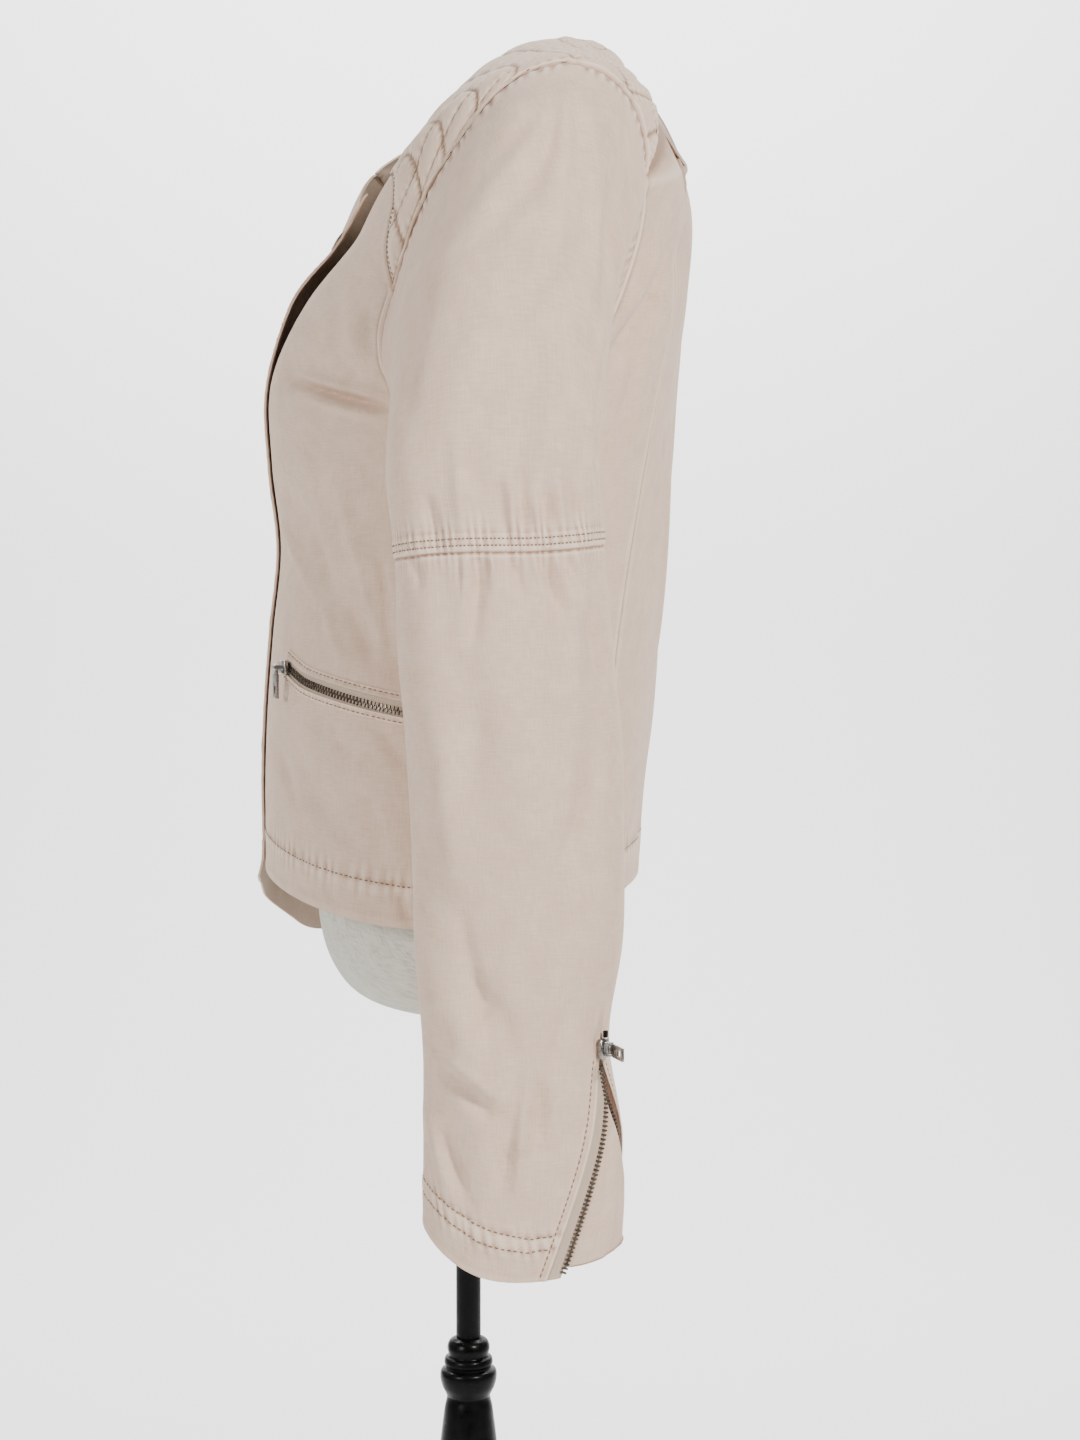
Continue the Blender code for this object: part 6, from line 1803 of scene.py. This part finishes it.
def cuff_teeth(name, places, outward, edge):
    line = places[:, edge] + outward[:, edge] * 0.2 * MM
    frames = drawn_along(line, outward[:, edge], CUFF_TOOTH_PITCH)
    across = frames[len(frames) // 2][2]
    inward = -1 if np.mean((places[:, edge] - places[:, 2]) @ across) < 0 else 1
    tooth = shaped_block(CUFF_TOOTH, (0, 0.3 * MM * inward, 0.25 * MM), 0.24 * MM, (inward, 0.72))
    copies(name, tooth, frames, TEETH)


def cuff_stop(side, out):
    """A black stop closes the zip over its slider."""
    places = places_of(f"cuff_slider_{side}")
    middle = (places.max(0) + places.min(0)) / 2
    middle[2] = places[:, 2].max() + 2.3 * MM
    stop = shaped_block((2.4 * MM, 3.4 * MM, 1.8 * MM), (0, 0, 0), 0.3 * MM)
    copies(f"cuff_stop_{side}", stop, [(middle, unit(np.cross(UP, out)), UP, out)], DARK_STOP)


def cuff_zips():
    """Each cuff's two tapes with their open rows of teeth, and the gusset between them."""
    near = slit_strip(CUFF_LEVELS, near_tape_lengths)
    far = slit_strip(CUFF_LEVELS, far_tape_lengths)
    gusset = gusset_grid()
    for side, flip in (("left", 1), ("right", -1)):
        turned_by = np.array([flip, 1, 1])
        points, normals = ((table * turned_by)[:, ::flip] for table in gusset)
        hang(f"cuff_gusset_{side}", grid_on(points, normals, 0.5 * MM), thickness=1.0 * MM)
        for which, strip, edge, finish in (("near", near, -1, TAPE), ("far", far, 0, SHADED_FAR_TAPE)):
            places, outward = (table * turned_by for table in strip)
            grid = grid_on(places[::-1, ::flip], outward[::-1, ::flip], 0.45 * MM)
            hang(f"cuff_tape_{which}_{side}", grid, finish, thickness=0.9 * MM, slot="zip_tape")
            cuff_teeth(f"cuff_teeth_{which}_{side}", places, outward, edge)
        cuff_stop(side, unit(near[1][0, 2] * turned_by))


# ---------------------------------------------------------------- pockets and snaps

WELT_STITCHES = 1.5 * MM  # from a welt's outer edge
# A snap's cap as shares of its radius and heights in millimetres, from under its rim in.
SNAP_PROFILE = (
    (0.93, -0.85), (1.0, -0.55), (1.0, -0.15), (0.95, 0.12), (0.86, 0.15), (0.80, 0.0),
    (0.76, -0.02), (0.70, 0.18), (0.45, 0.48), (0.20, 0.62), (0.05, 0.66),
)


def tree_of(piece):
    """A search tree of a piece's own faces, for what lies on it."""
    points = [vertex.co.copy() for vertex in piece.data.vertices]
    return BVHTree.FromPolygons(points, [tuple(face.vertices) for face in piece.data.polygons])


def dropped_on(tree, points, normals, reach=14 * MM):
    """The same places where the way in first meets the piece."""
    found = points.copy()
    flat = found.reshape(-1, 3)
    for number, (point, normal) in enumerate(zip(points.reshape(-1, 3), normals.reshape(-1, 3))):
        way = Vector(normal)
        hit = tree.ray_cast(Vector(point) + way * reach, -way, 2 * reach)
        if hit[0]:
            flat[number] = hit[0]
    return found


def pocket_line():
    """Angles and levels along the middle of the pocket's zip."""
    start, turn, end = (side_place(stitch) for stitch in (POCKET_START, POCKET_BEND, POCKET_END))
    share = np.linspace(0, 1, POCKET_PLACES)[:, None]
    bend = 0.30
    first = (1 - share / bend) * start + share / bend * turn
    part = (share - bend) / (1 - bend)
    line = np.where(share < bend, first, (1 - part) * turn + part * end)
    for _ in range(60):
        line[1:-1] = (line[:-2] + 2 * line[1:-1] + line[2:]) / 4
    return line


def pocket_band(side, reach):
    """A fine strip at distances above the pocket's line, on the front's cloth."""
    places = pocket_line()
    if side == "left":
        points, normals = body_cloth(places)
    else:
        places = drop_hem(mirrored_places(places[:, None])[:, 0])[::-1]
        points, normals = right_front_cloth(places)
    up = unit(np.cross(normals, unit(np.gradient(points, axis=0))))
    return np.array([points + up * length for length in reach]), np.array([normals] * len(reach))


def pocket_welt(node, base, normals, out, sign):
    """A folded welt; out is each row's length from its outer edge. Gives its row of stitches."""
    ridge = close_to(out, POCKET_WELT, 1.5 * MM)
    flat_part = 0.7 * MM * smooth_step(0.0, 0.8 * MM, out)
    height = (0.2 * MM + flat_part + 1.0 * MM * ridge)[:, None]
    pucker = uneven_wave(arc_lengths(base, 1), 6 * MM, sign)
    height = height + 0.16 * MM * pucker * close_to(out, 1.6 * MM, 2 * MM)[:, None]
    height = height - 0.25 * MM * close_to(out, WELT_STITCHES, 0.6 * MM)[:, None]
    # The welt's colour: paler on its raised fold, darker in its hollows as painted shade.
    grid = grid_on(base, normals, height)._replace(wear=relief_wear_and_shade(height, 2))
    hang(node, grid, thickness=0.9 * MM)
    row = int(np.argmin(np.abs(out - WELT_STITCHES)))
    return grid.outer[row], grid.normals[row]


def pocket_teeth(name, line, normals):
    """Both rows of a closed chain. Each row's teeth turn round, so all are made alike."""
    set_off = []
    for number, frame_there in enumerate(drawn_along(line, normals, POCKET_TOOTH_PITCH)):
        origin, along, across, out = frame_there
        sign = 1 if number % 2 else -1
        aside = across * sign * POCKET_TOOTH_ASIDE
        set_off.append((origin + aside, along * sign, across * sign, out))
    copies(name, shaped_block(POCKET_TOOTH, (0, 0, 0), 0.2 * MM), set_off, TEETH)


def pocket_zips(fronts):
    """On each front a closed zip between two welts, each welt held by a row of stitches."""
    half = POCKET_CHAIN / 2
    edge = half + POCKET_WELT
    reach = np.linspace(-edge, edge, 33)
    for side in ("left", "right"):
        rows, normals = pocket_band(side, reach)
        base = dropped_on(tree_of(fronts[side]), rows, normals)
        lines = []
        for which, sign in (("upper", 1), ("lower", -1)):
            rows = np.flatnonzero(reach * sign > half - 0.8 * MM)
            if len(rows) % 2 == 0:
                rows = rows[1:] if sign > 0 else rows[:-1]
            out = edge - reach[rows] * sign
            node = f"pocket_welt_{which}_{side}"
            lines.append(pocket_welt(node, base[rows], normals[rows], out, sign))
        stitched(f"pocket_stitches_{side}", lines, STITCH_PITCH)
        rows = np.abs(reach) < half + 0.2 * MM
        grid = grid_on(base[rows], normals[rows], 0.75 * MM)
        grid = grid._replace(flat=grid.flat[..., ::-1])
        hang(f"pocket_zip_{side}", grid, TAPE, thickness=0.7 * MM, slot="zip_tape")
        # The chain runs a little under the pocket's line towards the side.
        share = np.linspace(0, 1, POCKET_PLACES)[:: 1 if side == "left" else -1]
        middle = -1.2 * MM * smooth_step(0.1, 0.8, share)
        places = [read_off(base[:, n], middle[n : n + 1], reach)[0] for n in range(POCKET_PLACES)]
        pocket_teeth(f"pocket_teeth_{side}", np.array(places) + normals[0] * 1.0 * MM, normals[0])


def snap_caps():
    """The right front's snap caps: a low dome in a rolled rim, in place of each plain one."""
    profile = [(share * SNAP_RADIUS, height * MM) for share, height in SNAP_PROFILE]
    for number in range(1, SNAPS + 1):
        points = places_of(f"snap_{number}")
        middle = (points.max(0) + points.min(0)) / 2
        normal = np.linalg.svd(points - points.mean(0), full_matrices=False)[2][2]
        if normal[1] > 0:
            normal = -normal
        cap = turned(f"snap_{number}_cap", profile, NICKEL, sides=40)
        face = Vector(normal).to_track_quat("Z", "Y").to_matrix().to_4x4()
        cap.data.transform(Matrix.Translation(Vector(middle)) @ face)
        dressed(cap, f"snap_{number}")


# ---------------------------------------------------------------- form and stand


def covered_form():
    """The limbless form under its linen, with a sewn line down its front, sides and back."""
    columns = 128
    spans = (np.linspace(0, 2, 13)[:-1], np.linspace(2, 13, 78)[:-1], np.linspace(13, 18, 27))
    levels = np.concatenate(spans)
    angles = np.linspace(0, 2 * math.pi, columns + 1)
    grid = ring_surface(FORM_RINGS, angles[None, :] + 0 * levels[:, None], levels[:, None])
    around = arc_lengths(grid, 1)
    up = arc_lengths(grid, 0)
    normals = grid_normals(grid[::-1])[::-1]
    out = np.zeros(up.shape)
    for turn in (0.0, 0.25, 0.5, 0.75, 1.0):
        away = np.abs(angles / (2 * math.pi) - turn)[None, :] * around[:, -1:]
        out = out - 0.6 * MM * np.exp(-((away / (1.6 * MM)) ** 2))
    grid = grid + normals * out[..., None]
    vertices = grid[:, :-1].reshape(-1, 3).tolist()
    index = np.arange(len(levels) * columns).reshape(len(levels), columns)
    index = np.concatenate([index, index[:, :1]], axis=1)
    faces = quads_of(index, False)
    maps = np.stack([around, up], axis=-1)
    corners = (maps[:-1, :-1], maps[:-1, 1:], maps[1:, 1:], maps[1:, :-1])
    spread = np.stack([corner.reshape(-1, 2) for corner in corners], axis=1).reshape(-1, 2)
    for row, flip in ((0, True), (len(levels) - 1, False)):
        middle = len(vertices)
        vertices.append(grid[row, :-1].mean(axis=0).tolist())
        for column in range(columns):
            a, b = int(index[row, column]), int(index[row, column + 1])
            faces.append([b, a, middle] if flip else [a, b, middle])
            corners = [vertices[c] for c in faces[-1]]
            spread = np.concatenate([spread, [(c[0], c[1]) for c in corners]])
    mesh = bpy.data.meshes.new("linen_form")
    mesh.from_pydata(vertices, [], faces)
    mesh.uv_layers.new(name="cloth").data.foreach_set("uv", spread.ravel())
    mesh.materials.append(LINEN)
    mesh.shade_smooth()
    mesh.set_sharp_from_angle(angle=math.radians(50))
    dressed(into_scene("linen_form", mesh), "dress_form")


def rounded(profile, steps=6):
    """A turned profile with its corners eased into curves."""
    last = len(profile) - 1
    dense = table_columns(profile, np.linspace(0, last, last * steps + 1)).T
    return [(max(radius, 0.0004), height) for radius, height in dense]


def stand():
    """The pole, the turned column on it and the round base, in black."""
    top = places_of("pole")[:, 2].max()
    heights = (POLE_FOOT - POLE_SUNK, (POLE_FOOT + top) / 2, top)
    profile = [(POLE_RADIUS, float(height)) for height in heights]
    piece = turned("steel_pole", profile, STEEL, sides=48, bevel=0.3 * MM)
    dressed(piece, "pole")
    column = turned("turned_column", rounded(COLUMN_PROFILE), LACQUER, sides=72)
    dressed(column, "stand_column")
    base = turned("turned_base", rounded(BASE_PROFILE), LACQUER, sides=112)
    dressed(base, "stand_base")


# ---------------------------------------------------------------- the whole


def jacket():
    """Every cut piece in its solid's place, then the sewing, the zips and the metal."""
    pieces = {}
    lines = {"fronts": [], "backs": [], "yokes": [], "sleeves": [], "elbows": []}
    fronts = sewn_fronts()
    for side, grid in zip(("left", "right"), fronts):
        pieces[side] = hang(f"front_{side}", grid)
        lines["fronts"].append(row_beside(grid, "bottom", HEM_ROW, 0.02, 0.98))
        lines["fronts"] += [row_beside(grid, side, length, 0.01, 0.97) for length in EDGE_ROWS]
    # The right front hangs lower, so its hem's row shows inside too.
    points, normals = row_beside(fronts[1], "bottom", HEM_ROW, 0.02, 0.98)
    lines["fronts"].append((points - normals * WALL, -normals))
    back = sewn_back()
    hang("back_centre", back)
    lines["backs"].append(row_beside(back, "bottom", HEM_ROW, 0.01, 0.99))
    for side, grid in zip(("left", "right"), sewn_side_backs()):
        hang(f"side_back_{side}", grid)
        lines["backs"].append(row_beside(grid, "bottom", HEM_ROW, 0.02, 0.98))
    for side, grid in zip(("left", "right"), sewn_yokes()):
        hang(f"yoke_{side}", grid)
        lines["yokes"] += quilting_rows(grid, side)
        lines["yokes"] += [row_beside(grid, "bottom", length, 0.01, 0.98) for length in YOKE_ROWS]
    for (part, side), grid in sewn_sleeves().items():
        joined = len(grid.outer) - 1 if part == "upper" else SLIT_ROW
        hang(f"{part}_sleeve_{side}", grid, joined_to=joined, flipped=side == "left")
        if part == "upper":
            lines["elbows"] += [row_beside(grid, "top", length) for length in ELBOW_STITCHES]
            continue
        lines["sleeves"] += [row_beside(grid, "top", length, 0.02, 0.98) for length in CUFF_ROWS]
        for edge in ("left", "right"):
            lines["sleeves"].append(row_beside(grid, edge, SLIT_STITCHES, 0.55, 0.995))
    for name, found in lines.items():
        pitch = ELBOW_STITCH_PITCH if name == "elbows" else STITCH_PITCH
        stitched(f"{name}_stitches", found, pitch)
    cuff_zips()
    pocket_zips(pieces)
    snap_caps()
    for side in ("left", "right"):
        for place in ("cuff", "pocket"):
            polished(f"{place}_slider_{side}", "jacket_on_stand", 0.3 * MM)
            polished(f"{place}_pull_{side}", f"{place}_tab_{side}", 0.22 * MM)


jacket()
covered_form()
stand()


# ---------------------------------------------------------------- camera, light and floor

CAMERA_PLACE = (1.42, 0.0429, 1.07)
CAMERA_DIP = 2.86  # degrees below level
camera = bpy.data.cameras.new("camera")
camera.lens = 60
camera.sensor_width = 36
viewer = bpy.data.objects.new("camera", camera)
viewer.location = CAMERA_PLACE
viewer.rotation_euler = (math.radians(90 - CAMERA_DIP), 0, math.radians(90))
bpy.context.scene.collection.objects.link(viewer)
bpy.context.scene.camera = viewer


def lamp(name, place, aim, size, power, colour=(1, 1, 1)):
    light = bpy.data.lights.new(name, "AREA")
    light.shape = "RECTANGLE"
    light.size, light.size_y = size
    light.energy = power
    light.color = colour
    holder = bpy.data.objects.new(name, light)
    holder.location = place
    towards = Vector(aim) - Vector(place)
    holder.rotation_euler = towards.to_track_quat("-Z", "Y").to_euler()
    bpy.context.scene.collection.objects.link(holder)


lamp("key", (1.9, 1.45, 2.35), (0.1, 0.0, 1.05), (0.5, 0.5), 86, (1.0, 0.985, 0.965))
lamp("fill", (2.1, -1.7, 1.7), (0.1, 0.0, 1.0), (0.9, 0.9), 42)
lamp("front", (-0.6, -2.6, 1.8), (0.0, 0.0, 1.05), (1.4, 1.4), 5)
lamp("behind", (-2.2, 1.6, 2.2), (0.0, 0.0, 1.0), (1.6, 1.6), 12)
lamp("backdrop", (-1.6, 0.0, 3.2), (-3.4, 0.0, 0.7), (3.5, 0.8), 330)

world = bpy.data.worlds.new("studio")
world.use_nodes = True
background = world.node_tree.nodes["Background"]
background.inputs["Color"].default_value = (1.0, 0.995, 0.985, 1)
background.inputs["Strength"].default_value = 0.27
bpy.context.scene.world = world

# A pale paper sweep: upright well behind the stand, curving down and flat under it.
SWEEP_LENGTH = 11.5
SWEEP_WIDTH = 14
SWEEP_RADIUS = 1.1
SWEEP_UPRIGHT = 3.5  # of its length
SWEEP_FLAT = 5.2  # where along its length the curve ends
SWEEP_FLAT_X = -2.5
begin()
bpy.ops.mesh.primitive_grid_add(x_subdivisions=80, y_subdivisions=2, size=1)
floor = bpy.context.object
for vertex in floor.data.vertices:
    run = (vertex.co.x + 0.5) * SWEEP_LENGTH
    side = vertex.co.y * SWEEP_WIDTH
    turn = (SWEEP_FLAT - run) / (SWEEP_FLAT - SWEEP_UPRIGHT) * math.pi / 2
    if run < SWEEP_UPRIGHT:
        vertex.co = (SWEEP_FLAT_X - SWEEP_RADIUS, side, SWEEP_RADIUS + SWEEP_UPRIGHT - run)
    elif run < SWEEP_FLAT:
        x = SWEEP_FLAT_X - SWEEP_RADIUS * math.sin(turn)
        vertex.co = (x, side, SWEEP_RADIUS - SWEEP_RADIUS * math.cos(turn))
    else:
        vertex.co = (SWEEP_FLAT_X + run - SWEEP_FLAT, side, 0.0)
made_whole(floor, "floor", finish_named("matt pale paper", 0.9)[0], smooth=60)
